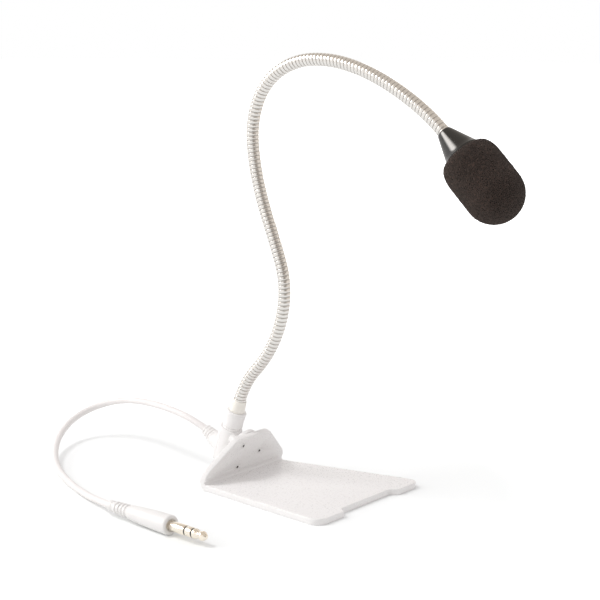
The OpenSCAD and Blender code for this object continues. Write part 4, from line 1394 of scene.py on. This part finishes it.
@dataclass
class Gooseneck:
    """The flexible neck: a round wire and a wedge wire wound turn by turn.

    Each wire is its middle and half width in turns, then the radius of its
    back and how far it is sunk, in millimetres.
    """

    outer_d: float = 8.5
    turns_per_link: int = 10
    valley: float = 0.55
    wires: tuple[tuple[float, ...], ...] = ((0.40, 0.385, 4.0, 0.0), (0.895, 0.085, 0.7, 0.28))
    wire_ends: Pair = (0.80, 1.0)
    wire_fill: float = 0.97
    wire_steps: int = 6
    wall: float = 0.9
    steps: int = 40
    bend_reach: float = 11.0
    bodies: list[str] = field(default_factory=list)

    def __post_init__(self) -> None:
        """Lists the bodies along the neck."""
        last = len(LAYOUT.neck_turns)
        self.bodies = ["stand"] + [f"neck_{number:02d}" for number in range(2, last)] + ["head"]

    @property
    def pitch(self) -> float:
        """Length of one turn of both wires."""
        return LAYOUT.link_len / self.turns_per_link

    def turn_profile(self) -> Profile:
        """Returns one turn's outline: the round wire, then the sunken wedge wire."""
        r, pitch = self.outer_d / 2, self.pitch
        floor = r - self.valley
        outline = [(floor, 0.0)]
        for (centre, half, back, sunk), end in zip(self.wires, self.wire_ends):
            for step in range(self.wire_steps + 1):
                along = half * pitch * math.sin(math.pi * (step / self.wire_steps - 0.5)) * self.wire_fill
                outline.append((r - sunk - back + math.sqrt(back**2 - along**2), centre * pitch + along))
            outline.append((floor, end * pitch))
        return outline

    def straight_coil(self, name: str, turns: int) -> Piece:
        """Winds a straight piece of the neck, with a wall inside.

        Args:
            name: Name of the piece.
            turns: Number of turns.

        Returns:
            The piece, which starts at height 0, its valleys marked.
        """
        coil = draw_wire(name, [Vector((radius, 0, height)) * MM for radius, height in self.turn_profile()])
        bpy.ops.object.mode_set(mode="OBJECT")
        add_modifier(
            coil, "SCREW", angle=math.tau, screw_offset=self.pitch * MM, iterations=turns, steps=self.steps,
            render_steps=self.steps, use_merge_vertices=True, merge_threshold=WELD, use_smooth_shade=True,
        )
        edit(coil)
        close_mesh()
        self.face_outwards(coil)
        self.mark_valleys(coil)
        add_modifier(coil, "SOLIDIFY", thickness=self.wall * MM, offset=-1.0, use_rim=True)
        return coil

    def face_outwards(self, coil: Piece) -> None:
        """Turns the open surface so that its faces look away from the axis."""
        if sum(face.normal.xy.dot(face.center.xy) for face in coil.data.polygons) < 0:
            edit(coil)
            bpy.ops.mesh.flip_normals()
            bpy.ops.object.mode_set(mode="OBJECT")

    def mark_valleys(self, coil: Piece) -> None:
        """Stores how deep in a valley each point of the neck is, from 0 to 1."""
        r = self.outer_d / 2 * MM
        mark = coil.data.attributes.new("valley", "FLOAT", "POINT")
        for vertex, value in zip(coil.data.vertices, mark.data):
            value.value = min(max((r - vertex.co.xy.length) / (self.valley * MM), 0), 1)

    def lay_along(self, coil: Piece, start: float) -> None:
        """Bends a straight coil along the neck's own line.

        Args:
            coil: The straight coil.
            start: Distance along the neck at which it starts, in millimetres.
        """
        frames: dict[int, Matrix] = {}

        def place(co: Vector) -> Vector:
            """Returns the vertex's place on the neck, from a frame for each micron."""
            micron = round(co.z / MM * 1000)
            if micron not in frames:
                frames[micron] = LAYOUT.along_neck(start + micron / 1000)
            return frames[micron] @ Vector((co.x, co.y, 0))

        move_vertices(coil, place)

    def build(self) -> None:
        """Winds the neck's pieces and bends each one across its joint."""
        link, half = LAYOUT.link_len, LAYOUT.link_len / 2
        links = len(LAYOUT.neck_turns)
        long_coil = self.straight_coil("coil_pattern", self.turns_per_link)
        short_coil = self.straight_coil("short_coil_pattern", self.turns_per_link // 2 + 1)
        for number in range(links + 1):
            here = number * link
            ends = number in (0, links)
            coil = copy_piece(short_coil if ends else long_coil, f"neck_coil_{number:02d}")
            self.lay_along(coil, here - half if number else -self.pitch)
            smooth(coil, 80)
            nodes = [f"neck_link_{number:02d}"] if number else []
            dress(coil, NECK_NICKEL, nodes, {0: Body.STAND, links: Body.HEAD}.get(number))
            if not ends:
                before = LAYOUT.along_neck(here - self.bend_reach).translation
                after = LAYOUT.along_neck(here + self.bend_reach).translation
                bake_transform(coil)
        discard(long_coil)
        discard(short_coil)
        for number in range(1, links + 1):
            dress_node(f"mic_lead_{number:02d}", LEAD_GREY)


# ---------------------------------------------------------------- the head


@dataclass
class Head:
    """The black cone, the capsule's barrel and the foam windscreen."""

    cone_start: float = 2.0
    cone_len: float = 18.0
    cone_small_d: float = 9.4
    cone_lip: float = 0.45
    seat_r: float = 5.5
    seat_span: Pair = (7.4, 11.4)
    barrel_d: float = 23.8
    barrel_wall: float = 1.6
    barrel_len: float = 23.0
    neck_bore: float = 4.0
    foam_d: float = 37.2
    foam_back_d: float = 27.0
    foam_len: float = 49.4
    foam_shoulder: float = 12.0
    foam_lap: float = 0.6
    foam_gap: float = 0.3
    foam_voxel: float = 0.32
    foam_shift: float = 1.3
    foam_nod: float = 3.0
    cell_size: float = 1.1
    cell_depth: float = 0.5
    cell_level: float = 0.75

    @property
    def cone_end(self) -> float:
        """Where the cone meets the barrel along the head's axis."""
        return self.cone_start + self.cone_len

    def cone_profile(self) -> Profile:
        """Returns the cone's outline, its flank between two fine lips."""
        start, end, bore = self.cone_start, self.cone_end, self.neck_bore
        r0, r1 = self.cone_small_d / 2, self.barrel_d / 2
        inner = r1 - self.barrel_wall
        (foot_r, foot), (top_r, top) = (r0 + self.cone_lip, start + 1.2), (r1 - 0.3, end - 0.4)
        flank = [(foot_r + (top_r - foot_r) * step / 6, foot + (top - foot) * step / 6) for step in range(7)]
        low, high = (start + height for height in self.seat_span)
        outline = [
            (bore, start), (r0 - 0.3, start), (r0, start + 0.3), *flank, (r1, end - 0.1), (r1, end),
            (inner, end), (inner - 0.6, end - 1), (self.seat_r, high), (self.seat_r, low), (bore, low),
        ]
        return outline + outline[:1]

    def foam_profile(self) -> Profile:
        """Returns the windscreen's outline, hollow for the barrel."""
        r, back = self.foam_d / 2, self.foam_back_d / 2
        start = self.cone_end - self.foam_lap
        end = start + self.foam_len
        inner = self.barrel_d / 2 + self.foam_gap
        hole = self.cone_end + self.barrel_len + self.foam_gap
        shoulder = [
            (back + (r - back) * sine, start + 0.4 + (self.foam_shoulder - 0.4) * (1 - cosine))
            for sine, cosine in quarter(8)
        ]
        dome = [(r * cosine, end - r + r * sine) for sine, cosine in quarter(18)[:-1]]
        outline = [
            (inner, start + 0.3), (inner + 0.4, start), (back - 0.5, start), *shoulder, *dome,
            (0, end), (0, hole), (inner, hole),
        ]
        return outline + outline[:1]

    def make_foam(self) -> None:
        """Turns the windscreen and opens the cells of its skin."""
        pivot = LAYOUT.head() @ shift(0, 0, self.cone_end + self.foam_shift)
        place = pivot @ turn_x(self.foam_nod) @ shift(0, 0, -self.cone_end)
        foam = lathe("foam_windscreen", self.foam_profile(), place, 96)
        add_modifier(foam, "REMESH", mode="VOXEL", voxel_size=self.foam_voxel * MM, adaptivity=0.0)
        add_modifier(foam, "SMOOTH", factor=0.5, iterations=2)
        cells = bpy.data.textures.new("foam_cells", "VORONOI")
        cells.noise_scale = self.cell_size * MM
        cells.distance_metric = "DISTANCE"
        add_modifier(
            foam, "DISPLACE", texture=cells, texture_coords="LOCAL", strength=self.cell_depth * MM,
            mid_level=self.cell_level,
        )
        smooth(foam, 180)
        dress(foam, FOAM_CHARCOAL, ["windscreen"], Body.FOAM)

    def build(self) -> None:
        """Makes the cone and the windscreen, and dresses what is inside."""
        cone = turned("cone_shell", self.cone_profile(), LAYOUT.head(), 96, 0.15)
        dress(cone, GLOSS_BLACK, ["head_cone"], Body.HEAD)
        self.make_foam()
        for node in ("head_nut", "capsule", "barrel_grille"):
            dress_node(node, BRIGHT_STEEL)
        dress_node("capsule_barrel", GLOSS_BLACK)
        dress_node("capsule_holder", INNER_BLACK)


def main() -> None:
    """Builds the set and the microphone, piece by piece."""
    logging.basicConfig(level=logging.INFO, format="%(name)s: %(message)s")
    studio = Studio()
    studio.make_camera()
    for assembly in (CordAndPlug, BentPlate, Housing, Gooseneck, Head):
        assembly().build()
    studio.make_floor()
    studio.make_world()
    studio.make_lamps()


if __name__ == "__main__":
    main()
